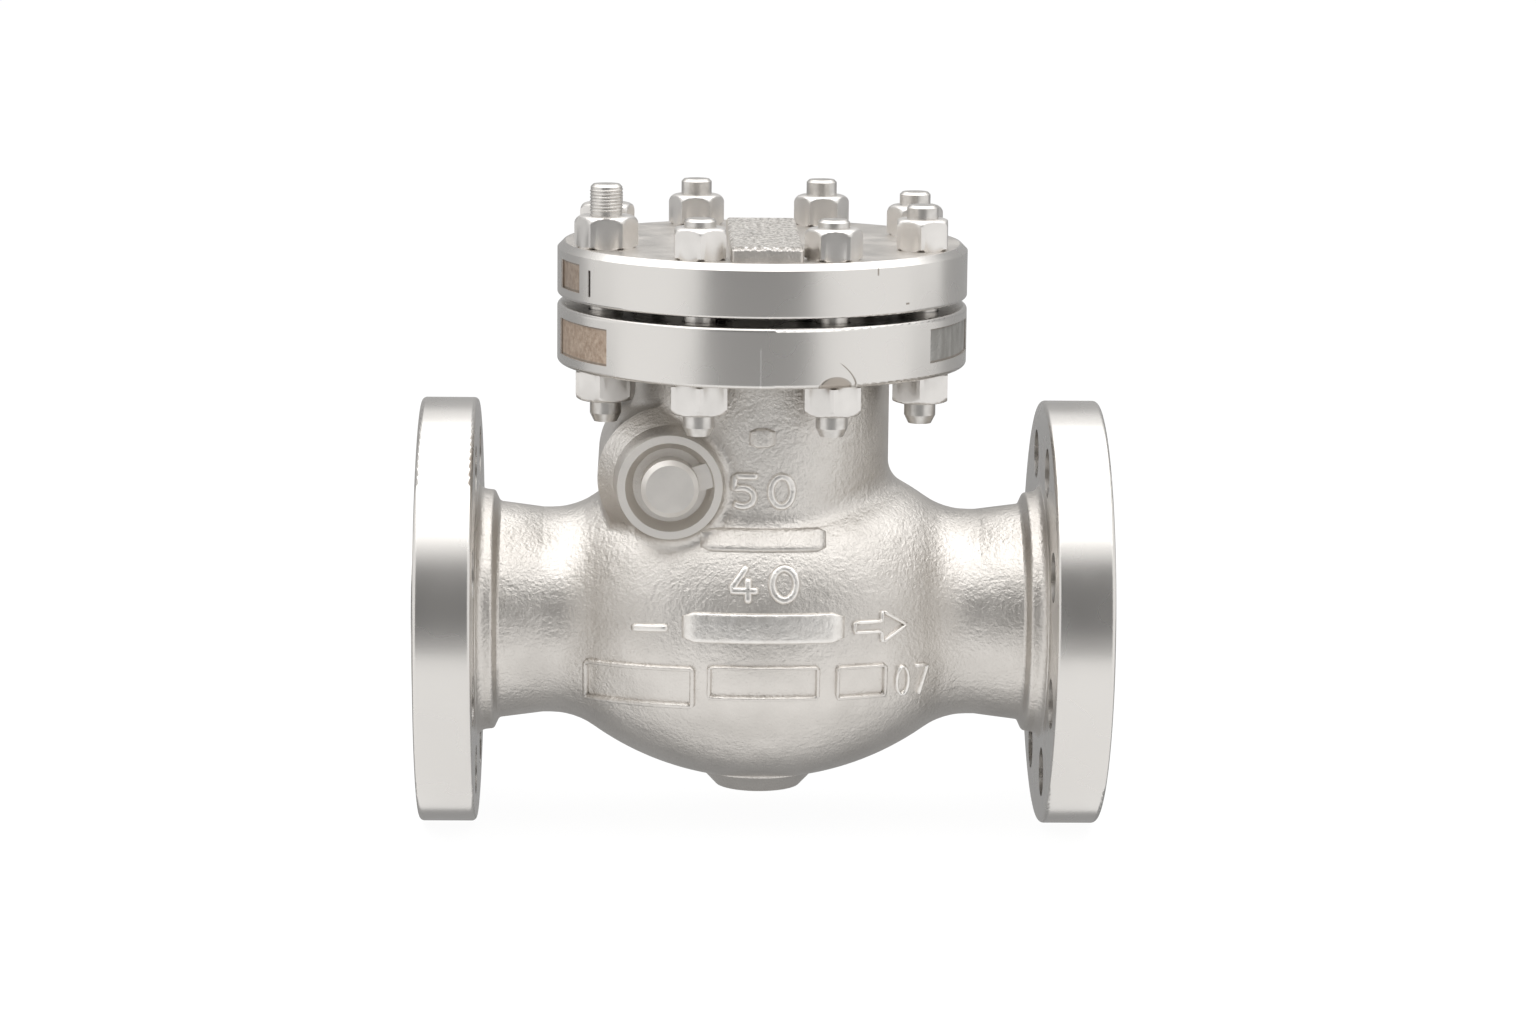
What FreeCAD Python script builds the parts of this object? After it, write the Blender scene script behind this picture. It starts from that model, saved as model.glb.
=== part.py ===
import FreeCAD, Part

import math
import os

import Sketcher

# Swing check valve with flanged ends and a bolted cover.
# Every piece is drawn about the centre of the valve: X along the flow, Z up the cover's axis.
# Its Placement then moves it along X, so that the frame's origin is the middle of the inlet face.

doc = FreeCAD.newDocument("swing_check_valve")
sheet = doc.addObject("Spreadsheet::Sheet", "Sizes")
CASTING_PIECES = []

# Driving sizes in millimetres and degrees: alias, value, meaning.
SIZES = (
    ("face_to_face", 267, "length over the raised faces"),
    ("end_flange_od", 165, "end flange outside diameter"),
    ("end_flange_thick", 24, "end flange thickness with its raised face"),
    ("raised_face_od", 92, "raised face outside diameter"),
    ("raised_face_step", 2, "height of the raised face"),
    ("end_bolt_inset", 19, "rim of the end flange to the middle of a hole"),
    ("end_bolt_hole", 19, "end flange hole diameter"),
    ("end_bolt_count", 8, "holes in each end flange"),
    ("end_flange_round", 1.8, "rounding of the end flange rims"),
    ("hub_diameter", 93, "hub behind the end flange"),
    ("hub_length", 6.5, "length of that hub"),
    ("hub_draft", 0.7, "growth of its radius towards the flange"),
    ("hub_step", 2, "length of the step from hub to neck"),
    ("hub_step_round", 1.5, "fillets of that step"),
    ("hub_round", 4, "fillet between hub and flange"),
    ("pipe_bore", 51, "flow passage"),
    ("neck_diameter", 80, "straight neck beside the belly"),
    ("neck_flare", 2.2, "growth of the neck's radius towards the hub"),
    ("flare_length", 19, "length over which the neck grows"),
    ("belly_depth", 65.5, "flow axis to the crest of the belly"),
    ("belly_radius", 112, "radius of the belly's outline"),
    ("belly_blend", 29, "hollow radius between belly and neck"),
    ("casing_wall", 9, "wall of the belly"),
    ("hollow_end", 66, "cover axis to the outlet end of the belly's hollow"),
    ("throat_end", 100, "cover axis to where the passage is down to the pipe bore"),
    ("opening_floor", 20, "flow axis to the floor of the cover opening's cut, inside the hollow"),
    ("bonnet_neck_od", 99, "upright neck under the cover flange"),
    ("bonnet_bore", 80, "opening in that neck"),
    ("bonnet_blend", 11, "fillet where the upright neck meets the belly"),
    ("bonnet_height", 121.3, "flow axis to the top of the cover flange"),
    ("cover_flange_od", 158, "cover flange and cover outside diameter"),
    ("body_flange_thick", 23, "cover flange thickness"),
    ("body_flange_round", 1.6, "rounding of its rim"),
    ("body_flange_fillet", 2.5, "fillet under the cover flange"),
    ("joint_face_od", 100, "raised joint face under the gasket"),
    ("joint_face_step", 0.8, "height of that face on body and cover"),
    ("gasket_thick", 1.6, "cover gasket thickness"),
    ("gasket_bore", 84, "cover gasket inside diameter"),
    ("cover_thick", 20.3, "cover thickness without its joint face"),
    ("cover_chamfer", 2.4, "chamfer of the cover's upper rim"),
    ("cover_round", 1.2, "rounding of the cover's lower rim"),
    ("plate_width", 27, "raised plate on the cover"),
    ("plate_front", 70, "cover axis to the plate's front edge"),
    ("plate_back", 34, "cover axis to the plate's back edge"),
    ("plate_height", 5.5, "height of that plate"),
    ("plate_round", 1.5, "rounding of its edges"),
    ("stud_circle", 130, "circle of the cover studs"),
    ("stud_count", 8, "cover studs"),
    ("stud_diameter", 12, "cover stud"),
    ("stud_hole", 13.5, "hole for a cover stud"),
    ("stud_foot", 8, "stud below the lower nut"),
    ("stud_tip", 1.6, "taper of a stud's lower end"),
    ("small_chamfer", 1, "chamfer of turned ends"),
    ("over_cut", 1, "how far a cut runs past the face that it opens"),
    ("nut_slope", 0.577, "rise of a nut's chamfer for its width"),
    ("thread_play", 0.05, "radial clearance of a screwed fit"),
    ("upper_nut_flats", 19, "upper nut across flats"),
    ("upper_nut_high", 12, "upper nut height"),
    ("tall_nut_flats", 21, "the one larger upper nut, across flats"),
    ("tall_nut_high", 14.5, "its height"),
    ("lower_nut_flats", 21, "lower nut across flats"),
    ("lower_nut_high", 12, "lower nut height"),
    ("pin_offset", 35.5, "cover axis to hinge pin, towards the inlet"),
    ("pin_height", 57.6, "flow axis to hinge pin"),
    ("pin_diameter", 10, "hinge pin"),
    ("pin_play", 0.05, "radial clearance of the hinge pin"),
    ("housing_diameter", 55, "swelling of the body round the hinge"),
    ("housing_half", 33, "half length of that swelling"),
    ("housing_slope", 8, "length over which it narrows to the boss"),
    ("housing_blend", 3.6, "fillet round the hinge housing"),
    ("boss_reach", 56, "flow axis plane to the face of a hinge boss"),
    ("boss_diameter", 39.6, "hinge boss at its face"),
    ("boss_root", 43, "hinge boss at its root"),
    ("dish_diameter", 33.8, "dished recess in the boss face"),
    ("dish_floor", 28, "flat floor of that recess"),
    ("dish_depth", 6.5, "depth of that recess"),
    ("chamber_diameter", 36, "room for the arm's eye"),
    ("chamber_half", 26, "half length of that room"),
    ("plug_head", 21.8, "plug head diameter"),
    ("plug_head_high", 10, "plug head height"),
    ("plug_chamfer", 1.8, "chamfer of the plug head"),
    ("plug_shank", 16, "plug shank diameter"),
    ("plug_shank_long", 10.6, "plug shank length"),
    ("plug_washer_thick", 1, "plug sealing washer thickness"),
    ("lock_width", 9.5, "lock block beside the plug, along the ring"),
    ("lock_depth", 5.3, "its depth out of the recess"),
    ("lock_angle", 17, "its place on the ring, above level"),
    ("small_play", 0.1, "clearance of the plug locks and the split pin"),
    ("seat_plane", 38, "cover axis to the seat face"),
    ("seat_bridge", 46, "cover axis to the wall that carries the seat"),
    ("seat_flange_od", 70, "seat ring flange"),
    ("seat_thread_od", 62, "seat ring shank"),
    ("seat_thread_long", 12, "length of that shank"),
    ("seat_land_od", 62, "outside of the seat land"),
    ("seat_land_step", 1, "height of the seat land"),
    ("seat_notch", 5, "width of a driving notch in the seat ring"),
    ("seat_notch_deep", 2.5, "depth of a driving notch"),
    ("seat_notch_count", 4, "driving notches"),
    ("disc_diameter", 62, "valve disc"),
    ("disc_thick", 8, "valve disc thickness"),
    ("disc_dish", 1, "hollow in the disc's face"),
    ("disc_chamfer", 2.5, "chamfer of the disc's back edge"),
    ("stem_diameter", 10, "disc stem"),
    ("stem_play", 0.05, "radial clearance of the stem in the arm"),
    ("end_play", 0.3, "axial play of the disc, the arm and the screwed pieces"),
    ("arm_hub_od", 22, "hub of the arm round the stem"),
    ("arm_hub_long", 9, "length of that hub"),
    ("arm_eye_od", 20, "eye of the arm round the pin"),
    ("arm_rib", 12, "thickness of the arm's rib"),
    ("arm_plate", 5, "thickness of the arm's flat"),
    ("arm_plate_wide", 34, "width of the flat at the eye"),
    ("heel_reach", 24, "pin to the tip of the stop heel"),
    ("swing_open", 65, "full swing of the arm"),
    ("heel_width", 28, "angle that the heel takes up"),
    ("washer_od", 20, "disc washer"),
    ("washer_thick", 1.6, "its thickness"),
    ("disc_nut_flats", 16, "slotted disc nut across flats"),
    ("disc_nut_high", 8, "its height"),
    ("slot_width", 2.8, "slot in that nut"),
    ("slot_depth", 3.6, "its depth"),
    ("slot_count", 6, "slots in the nut"),
    ("stem_end", 1.2, "stem beyond the nut"),
    ("split_pin", 2.5, "split pin diameter"),
    ("split_pin_legs", 9, "length of its bent legs"),
    ("drain_boss_od", 33, "solid boss under the belly, lower edge"),
    ("drain_boss_root", 45, "the same boss at its root"),
    ("drain_boss_drop", 3.2, "boss below the crest of the belly"),
    ("spot_depth", 0.9, "depth of the rough spots in the rims"),
    ("parting_side", 64, "cover axis to the planes that part the casting's ends from its middle"),
    ("parting_height", 34, "flow axis to the plane that parts its belly from its upright neck"),
)

# How far each stud stands out of its upper nut, round from the front.
STUD_STAND_OUT = (3, 5, 5, 6, 6, 5, 9.7, 3)
TALL_NUT = 7

# Where each nut came to rest when it was tightened, in degrees, round from the front.
UPPER_NUT_TURN = (13, 10, 25, 4, 28, 17, 38, 2)
LOWER_NUT_TURN = (3, 18, 9, 24, 12, 5, 20, 58)

# Rough spots left in the rims: azimuth from the front, angle wide, height up the rim, tall.
BODY_RIM_SPOTS = ((-64, 30, 11.5, 14), (69, 34, 12.5, 13))
COVER_RIM_SPOTS = ((-70, 15, 9.5, 11), (-57, 1.2, 8.5, 10))


def fill_sheet():
    """Write each driving size on its own row of the sheet."""
    for row, (alias, value, meaning) in enumerate(SIZES, start=1):
        sheet.set("A%d" % row, meaning)
        sheet.set("B%d" % row, str(value))
        sheet.setAlias("B%d" % row, alias)
    doc.recompute()


def size(expression):
    """The number that an expression on the sheet comes to."""
    return float(sheet.evalExpression(expression))


def new_body(label):
    """An empty body whose own zero is the centre of the valve."""
    body = doc.addObject("PartDesign::Body", label)
    body.Label = label
    body.setExpression("Placement.Base.x", "Sizes.face_to_face / 2")
    return body


def origin_part(body, role):
    """A plane or axis of the body's own origin."""
    return [part for part in body.Origin.OriginFeatures if part.Role == role][0]


def new_sketch(body, role, name, offset=("0", "0", "0"), turn=0):
    """A sketch on one of the body's origin planes, moved by three expressions in the plane's own axes."""
    sketch = body.newObject("Sketcher::SketchObject", name)
    sketch.AttachmentSupport = [(origin_part(body, role), "")]
    sketch.MapMode = "FlatFace"
    turning = FreeCAD.Rotation(FreeCAD.Vector(0, 1, 0), turn)
    sketch.AttachmentOffset = FreeCAD.Placement(FreeCAD.Vector(0, 0, 0), turning)
    for axis, amount in zip("xyz", offset):
        if amount != "0":
            sketch.setExpression("AttachmentOffset.Base." + axis, amount)
    return sketch


def hold(sketch, kind, items, expression):
    """Add one constraint whose value is an expression on the sheet."""
    index = sketch.addConstraint(Sketcher.Constraint(kind, *items, size(expression)))
    sketch.setExpression("Constraints[%d]" % index, expression)


def draw_outline(sketch, corners):
    """A closed outline of straight lines through corners given as pairs of expressions."""
    points = [FreeCAD.Vector(size(across), size(up), 0) for across, up in corners]
    count = len(points)
    for i in range(count):
        sketch.addGeometry(Part.LineSegment(points[i], points[(i + 1) % count]), False)
    for i in range(count):
        sketch.addConstraint(Sketcher.Constraint("Coincident", i, 2, (i + 1) % count, 1))
    for i, (across, up) in enumerate(corners):
        hold(sketch, "DistanceX", (-1, 1, i, 1), across)
        hold(sketch, "DistanceY", (-1, 1, i, 1), up)


def draw_circle(sketch, across, up, diameter):
    """A circle whose centre and diameter are expressions."""
    centre = FreeCAD.Vector(size(across), size(up), 0)
    index = sketch.addGeometry(Part.Circle(centre, FreeCAD.Vector(0, 0, 1), size(diameter) / 2), False)
    hold(sketch, "DistanceX", (-1, 1, index, 3), across)
    hold(sketch, "DistanceY", (-1, 1, index, 3), up)
    hold(sketch, "Diameter", (index,), diameter)


def finish(body, kind, name, sketch, **settings):
    """Add a sketch-based feature and recompute, so that the next one can read it."""
    feature = body.newObject("PartDesign::" + kind, name)
    feature.Profile = sketch
    for key, value in settings.items():
        if isinstance(value, str) and "Sizes." in value:
            feature.setExpression(key, value)
        else:
            setattr(feature, key, value)
    body.Tip = feature
    doc.recompute()
    return feature


def round_edges(body, name, radius, chosen, kind="Fillet"):
    """Fillet or chamfer the edges of the body's tip that the function chosen picks."""
    base = body.Tip
    edges = ["Edge%d" % (i + 1) for i, edge in enumerate(base.Shape.Edges) if chosen(edge)]
    feature = body.newObject("PartDesign::" + kind, name)
    feature.Base = (base, edges)
    feature.setExpression("Radius" if kind == "Fillet" else "Size", radius)
    body.Tip = feature
    doc.recompute()
    return feature


def is_circle(edge, axis, at, radius):
    """Is the edge a circle at this place along the axis and with this radius?"""
    curve = edge.Curve
    if curve.TypeId != "Part::GeomCircle":
        return False
    return abs(getattr(curve.Center, axis) - at) < 0.01 and abs(curve.Radius - radius) < 0.01


def round_circles(body, name, radius, circles, kind="Fillet"):
    """Fillet or chamfer circular edges, each given as axis, place and radius expressions."""
    wanted = [(axis, size(at), size(across)) for axis, at, across in circles]

    def is_wanted(edge):
        return any(is_circle(edge, *circle) for circle in wanted)

    return round_edges(body, name, radius, is_wanted, kind)


def round_seam(body, name, radius):
    """Fillet the edges along which the body's last feature meets what was there before it."""
    before = body.Tip.BaseFeature.Shape
    old_edges = Part.makeCompound(before.Edges)

    def is_new_on_old(edge):
        middle = Part.Vertex(edge.valueAt((edge.FirstParameter + edge.LastParameter) / 2))
        return before.distToShape(middle)[0] < 0.001 < old_edges.distToShape(middle)[0]

    return round_edges(body, name, radius, is_new_on_old)


def revolve(body, kind, name, role, corners, axis, offset=("0", "0", "0"), turn=0, **settings):
    """Turn a closed outline about its sketch's own axis, to add or to cut."""
    sketch = new_sketch(body, role, name + "_outline", offset, turn)
    draw_outline(sketch, corners)
    return finish(body, kind, name, sketch, ReferenceAxis=(sketch, [axis]), **settings)


def round_post(body, kind, name, role, circles, offset=("0", "0", "0"), **settings):
    """Pad or pocket one or more circles, each given as centre and diameter expressions."""
    sketch = new_sketch(body, role, name + "_circles", offset)
    for circle in circles:
        draw_circle(sketch, *circle)
    return finish(body, kind, name, sketch, **settings)


def repeat_round(body, name, originals, role, count):
    """Repeat features evenly round one of the body's axes."""
    pattern = body.newObject("PartDesign::PolarPattern", name)
    pattern.Originals = originals
    pattern.Axis = (origin_part(body, role), [""])
    pattern.Angle = 360
    pattern.setExpression("Occurrences", count)
    body.Tip = pattern
    doc.recompute()
    return pattern


def repeat_mirrored(body, name, originals, role):
    """Mirror features in one of the body's own planes."""
    mirror = body.newObject("PartDesign::Mirrored", name)
    mirror.Originals = originals
    mirror.MirrorPlane = (origin_part(body, role), [""])
    body.Tip = mirror
    doc.recompute()
    return mirror


def mirrored(corners):
    """The corners of one half, then the same ones mirrored on the first coordinate."""
    return corners + [("-(%s)" % across, up) for across, up in reversed(corners)]


HALF = "Sizes.face_to_face / 2"
NECK = "Sizes.neck_diameter / 2"
BOLT_RADIUS = "(Sizes.end_flange_od / 2 - Sizes.end_bolt_inset)"
FLANGE_BACK = HALF + " - Sizes.end_flange_thick"
HUB_END = FLANGE_BACK + " - Sizes.hub_length"
FLANGE_FLOOR = "Sizes.bonnet_height - Sizes.body_flange_thick"
COVER_SEAT = "Sizes.bonnet_height + 2 * Sizes.joint_face_step + Sizes.gasket_thick"
COVER_TOP = COVER_SEAT + " + Sizes.cover_thick"
DISH_FLOOR = "Sizes.boss_reach - Sizes.dish_depth"
PLUG_HOLE_END = DISH_FLOOR + " - Sizes.plug_shank_long - Sizes.end_play"
PIN_HALF = PLUG_HOLE_END
DISH_EDGE = "Sizes.dish_diameter / 2"
PIN_CENTRE = ("-Sizes.pin_offset", "0", "Sizes.pin_height")
ARC_CENTRE = "Sizes.belly_depth - Sizes.belly_radius"
THROAT = "sqrt((Sizes.belly_radius - Sizes.casing_wall) ^ 2 - Sizes.hollow_end ^ 2) + " + ARC_CENTRE


def add_ends(body):
    """Both end flanges with their raised faces and hubs, and the straight neck between them."""
    corners = [
        ("-" + HALF, "0"),
        ("-" + HALF, "Sizes.raised_face_od / 2"),
        ("Sizes.raised_face_step - " + HALF, "Sizes.raised_face_od / 2"),
        ("Sizes.raised_face_step - " + HALF, "Sizes.end_flange_od / 2"),
        ("-(%s)" % FLANGE_BACK, "Sizes.end_flange_od / 2"),
        ("-(%s)" % FLANGE_BACK, "Sizes.hub_diameter / 2 + Sizes.hub_draft"),
        ("-(%s)" % HUB_END, "Sizes.hub_diameter / 2"),
        ("Sizes.hub_step - (%s)" % HUB_END, NECK + " + Sizes.neck_flare"),
        ("Sizes.flare_length - (%s)" % HUB_END, NECK),
    ]
    revolve(body, "Revolution", "ends", "XZ_Plane", mirrored(corners), "H_Axis")


def add_belly(body, kind, name, crest, radius, left, right):
    """A barrel about the flow axis whose outline is one arc, between two planes across the flow."""
    sketch = new_sketch(body, "XZ_Plane", name + "_outline")
    middle = size("%s - (%s)" % (crest, radius))
    reach = size(radius)
    low, high = size(left), size(right)
    circle = Part.Circle(FreeCAD.Vector(0, middle, 0), FreeCAD.Vector(0, 0, 1), reach)
    sketch.addGeometry(Part.ArcOfCircle(circle, math.acos(high / reach), math.acos(low / reach)), False)
    tops = [middle + math.sqrt(reach * reach - x * x) for x in (low, high)]
    corners = [(low, tops[0]), (low, 0), (high, 0), (high, tops[1])]
    for start, end in zip(corners, corners[1:]):
        sketch.addGeometry(Part.LineSegment(FreeCAD.Vector(*start, 0), FreeCAD.Vector(*end, 0)), False)
    for item, following in ((0, 1), (1, 2), (2, 3)):
        sketch.addConstraint(Sketcher.Constraint("Coincident", item, 2, following, 1))
    sketch.addConstraint(Sketcher.Constraint("Coincident", 3, 2, 0, 1))
    sketch.addConstraint(Sketcher.Constraint("Vertical", 1))
    sketch.addConstraint(Sketcher.Constraint("Vertical", 3))
    sketch.addConstraint(Sketcher.Constraint("PointOnObject", 1, 2, -1))
    sketch.addConstraint(Sketcher.Constraint("PointOnObject", 2, 2, -1))
    sketch.addConstraint(Sketcher.Constraint("PointOnObject", 0, 3, -2))
    hold(sketch, "DistanceY", (-1, 1, 0, 3), "%s - (%s)" % (crest, radius))
    hold(sketch, "Radius", (0,), radius)
    hold(sketch, "DistanceX", (-1, 1, 1, 1), left)
    hold(sketch, "DistanceX", (-1, 1, 3, 1), right)
    return finish(body, kind, name, sketch, ReferenceAxis=(sketch, ["H_Axis"]))


def add_casting(body):
    """The outside of the casting up to the cover flange, with its blends."""
    add_ends(body)
    reach = "sqrt(Sizes.belly_radius ^ 2 - (%s - (%s)) ^ 2)" % (NECK, ARC_CENTRE)
    add_belly(body, "Revolution", "belly", "Sizes.belly_depth", "Sizes.belly_radius", "-" + reach, reach)
    round_circles(body, "belly_blends", "Sizes.belly_blend", [("x", "-" + reach, NECK), ("x", reach, NECK)])
    neck = [("0", "0", "Sizes.bonnet_neck_od")]
    round_post(body, "Pad", "bonnet_neck", "XY_Plane", neck, Length=FLANGE_FLOOR)
    round_seam(body, "bonnet_neck_blend", "Sizes.bonnet_blend")
    drop = "-(Sizes.belly_depth + Sizes.drain_boss_drop)"
    boss = [
        ("0", "-Sizes.belly_depth + Sizes.casing_wall"),
        ("Sizes.drain_boss_root / 2", "-Sizes.belly_depth + Sizes.casing_wall"),
        ("Sizes.drain_boss_root / 2", "-Sizes.belly_depth + Sizes.drain_boss_drop"),
        ("Sizes.drain_boss_od / 2", drop),
        ("0", drop),
    ]
    revolve(body, "Revolution", "drain_boss", "XZ_Plane", boss, "V_Axis")
    housing = [
        ("0", "-Sizes.boss_reach"),
        ("Sizes.boss_diameter / 2", "-Sizes.boss_reach"),
        ("Sizes.boss_root / 2", "-Sizes.housing_half - Sizes.housing_slope"),
        ("Sizes.housing_diameter / 2", "-Sizes.housing_half"),
    ]
    housing += [(across, "-(%s)" % up) for across, up in reversed(housing)]
    revolve(body, "Revolution", "hinge_housing", "XY_Plane", housing, "V_Axis", PIN_CENTRE)
    round_seam(body, "hinge_housing_blend", "Sizes.housing_blend")


def add_cover_flange(body):
    """The flange that carries the cover, with its joint face and rounded rim."""
    across = "Sizes.cover_flange_od"
    round_post(
        body, "Pad", "cover_flange", "XY_Plane", [("0", "0", across)],
        ("0", "0", FLANGE_FLOOR), Length="Sizes.body_flange_thick",
    )
    under = [("z", FLANGE_FLOOR, "Sizes.bonnet_neck_od / 2")]
    round_circles(body, "cover_flange_fillet", "Sizes.body_flange_fillet", under)
    rim = [("z", FLANGE_FLOOR, across + " / 2"), ("z", "Sizes.bonnet_height", across + " / 2")]
    round_circles(body, "cover_flange_rim", "Sizes.body_flange_round", rim)
    round_post(
        body, "Pad", "joint_face", "XY_Plane", [("0", "0", "Sizes.joint_face_od")],
        ("0", "0", "Sizes.bonnet_height"), Length="Sizes.joint_face_step",
    )


def round_end_flanges(body):
    """Rounded rims, and the fillets of the hubs behind the end flanges."""
    rims = []
    hubs = []
    steps = []
    for side in ("-", ""):
        rims.append(("x", "%s(%s - Sizes.raised_face_step)" % (side, HALF), "Sizes.end_flange_od / 2"))
        rims.append(("x", "%s(%s)" % (side, FLANGE_BACK), "Sizes.end_flange_od / 2"))
        hubs.append(("x", "%s(%s)" % (side, FLANGE_BACK), "Sizes.hub_diameter / 2 + Sizes.hub_draft"))
        steps.append(("x", "%s(%s)" % (side, HUB_END), "Sizes.hub_diameter / 2"))
        steps.append(("x", "%s(%s - Sizes.hub_step)" % (side, HUB_END), NECK + " + Sizes.neck_flare"))
    round_circles(body, "end_flange_rims", "Sizes.end_flange_round", rims)
    round_circles(body, "hub_fillets", "Sizes.hub_round", hubs)
    round_circles(body, "hub_steps", "Sizes.hub_step_round", steps)


def cut_passages(body):
    """The flow passage, the belly's hollow, the opening under the cover and the seat's bore."""
    half = HALF + " + Sizes.over_cut"
    bore = [
        ("-(%s)" % half, "0"),
        ("-(%s)" % half, "Sizes.pipe_bore / 2"),
        (half, "Sizes.pipe_bore / 2"),
        (half, "0"),
    ]
    revolve(body, "Groove", "bore", "XZ_Plane", bore, "H_Axis")
    add_belly(
        body, "Groove", "hollow", "Sizes.belly_depth - Sizes.casing_wall",
        "Sizes.belly_radius - Sizes.casing_wall", "-Sizes.seat_bridge", "Sizes.hollow_end",
    )
    cone = [
        ("0", "0"),
        ("0", THROAT),
        ("Sizes.hollow_end", THROAT),
        ("Sizes.throat_end", "Sizes.pipe_bore / 2"),
        ("Sizes.throat_end", "0"),
    ]
    revolve(body, "Groove", "throat", "XZ_Plane", cone, "H_Axis")
    floor = "-Sizes.seat_bridge - Sizes.seat_thread_long - Sizes.end_play"
    edge = "Sizes.seat_thread_od / 2 + Sizes.thread_play"
    mouth = "Sizes.over_cut - Sizes.seat_bridge"
    seat = [(floor, "0"), (floor, edge), (mouth, edge), (mouth, "0")]
    revolve(body, "Groove", "seat_bore", "XZ_Plane", seat, "H_Axis")
    round_post(
        body, "Pocket", "bonnet_opening", "XY_Plane", [("0", "0", "Sizes.bonnet_bore")],
        ("0", "0", "Sizes.bonnet_height + Sizes.joint_face_step"),
        Length="Sizes.bonnet_height + Sizes.joint_face_step - Sizes.opening_floor",
    )


def cut_hinge(body):
    """The room for the arm's eye, the pin's bore and the dished holes of both plugs."""
    centre = [("-Sizes.pin_offset", "Sizes.pin_height")]
    room = [centre[0] + ("Sizes.chamber_diameter",)]
    round_post(body, "Pocket", "eye_room", "XZ_Plane", room, Midplane=True, Length="2 * Sizes.chamber_half")
    bore = [centre[0] + ("Sizes.pin_diameter + 2 * Sizes.pin_play",)]
    long = "2 * (%s + Sizes.end_play)" % PIN_HALF
    round_post(body, "Pocket", "pin_bore", "XZ_Plane", bore, Midplane=True, Length=long)
    hole = "Sizes.plug_shank / 2 + Sizes.thread_play"
    dish = [
        ("0", "-Sizes.boss_reach - Sizes.over_cut"),
        ("Sizes.dish_diameter / 2", "-Sizes.boss_reach - Sizes.over_cut"),
        ("Sizes.dish_diameter / 2", "-Sizes.boss_reach"),
        ("Sizes.dish_floor / 2", "-(%s)" % DISH_FLOOR),
        (hole, "-(%s)" % DISH_FLOOR),
        (hole, "-(%s)" % PLUG_HOLE_END),
        ("0", "-(%s)" % PLUG_HOLE_END),
    ]
    cut = revolve(body, "Groove", "plug_hole", "XY_Plane", dish, "V_Axis", PIN_CENTRE)
    repeat_mirrored(body, "plug_holes", [cut], "XZ_Plane")


def cut_bolt_holes(body):
    """Eight holes in each end flange, and the stud holes of the cover flange."""
    half_step = "180 / Sizes.end_bolt_count"
    circle = (
        "%s * cos(%s)" % (BOLT_RADIUS, half_step),
        "%s * sin(%s)" % (BOLT_RADIUS, half_step),
        "Sizes.end_bolt_hole",
    )
    depth = "Sizes.end_flange_thick + Sizes.over_cut"
    inlet = round_post(
        body, "Pocket", "inlet_hole", "YZ_Plane", [circle],
        ("0", "0", "-%s" % HALF), Reversed=True, Length=depth,
    )
    repeat_round(body, "inlet_holes", [inlet], "X_Axis", "Sizes.end_bolt_count")
    outlet = round_post(body, "Pocket", "outlet_hole", "YZ_Plane", [circle], ("0", "0", HALF), Length=depth)
    repeat_round(body, "outlet_holes", [outlet], "X_Axis", "Sizes.end_bolt_count")
    cut_stud_holes(body, "Sizes.bonnet_height", "Sizes.body_flange_thick")


def cut_stud_holes(body, top, thick):
    """The ring of stud holes through one of the two cover flanges."""
    half_step = "180 / Sizes.stud_count"
    circle = (
        "Sizes.stud_circle / 2 * cos(%s)" % half_step,
        "Sizes.stud_circle / 2 * sin(%s)" % half_step,
        "Sizes.stud_hole",
    )
    depth = thick + " + Sizes.over_cut"
    hole = round_post(body, "Pocket", "stud_hole", "XY_Plane", [circle], ("0", "0", top), Length=depth)
    repeat_round(body, "stud_holes", [hole], "Z_Axis", "Sizes.stud_count")


def cut_rim_spots(body, spots, floor):
    """Shallow rough spots that were left in a turned rim: azimuth, angle wide, height and tall."""
    edge = "Sizes.cover_flange_od / 2"
    for number, (azimuth, wide, up, tall) in enumerate(spots, start=1):
        low = "%s + %s" % (floor, up - tall / 2)
        high = "%s + %s" % (floor, up + tall / 2)
        corners = [
            (edge + " - Sizes.spot_depth", low),
            (edge + " + Sizes.over_cut", low),
            (edge + " + Sizes.over_cut", high),
            (edge + " - Sizes.spot_depth", high),
        ]
        name = "rim_spot_%d" % number
        revolve(
            body, "Groove", name, "XZ_Plane", corners, "V_Axis",
            turn=azimuth - 90, Midplane=True, Angle=wide,
        )


def make_casting():
    """The whole casting with everything that is cut in it."""
    body = new_body("casting")
    add_casting(body)
    add_cover_flange(body)
    round_end_flanges(body)
    cut_passages(body)
    cut_hinge(body)
    cut_bolt_holes(body)
    cut_rim_spots(body, BODY_RIM_SPOTS, FLANGE_FLOOR)
    return body


def part_off(casting, label, along, up):
    """The piece of the casting between two places along the flow and two heights."""
    block = doc.addObject("Part::Box", label + "_block")
    wide = "2 * Sizes.end_flange_od"
    block.setExpression("Length", "%s - (%s)" % (along[1], along[0]))
    block.setExpression("Width", wide)
    block.setExpression("Height", "%s - (%s)" % (up[1], up[0]))
    block.setExpression("Placement.Base.x", "%s + %s" % (HALF, along[0]))
    block.setExpression("Placement.Base.y", "-(%s) / 2" % wide)
    block.setExpression("Placement.Base.z", up[0])
    piece = doc.addObject("Part::Common", label)
    piece.Label = label
    piece.Base = casting
    piece.Tool = block
    doc.recompute()
    CASTING_PIECES.append(piece)


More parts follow.
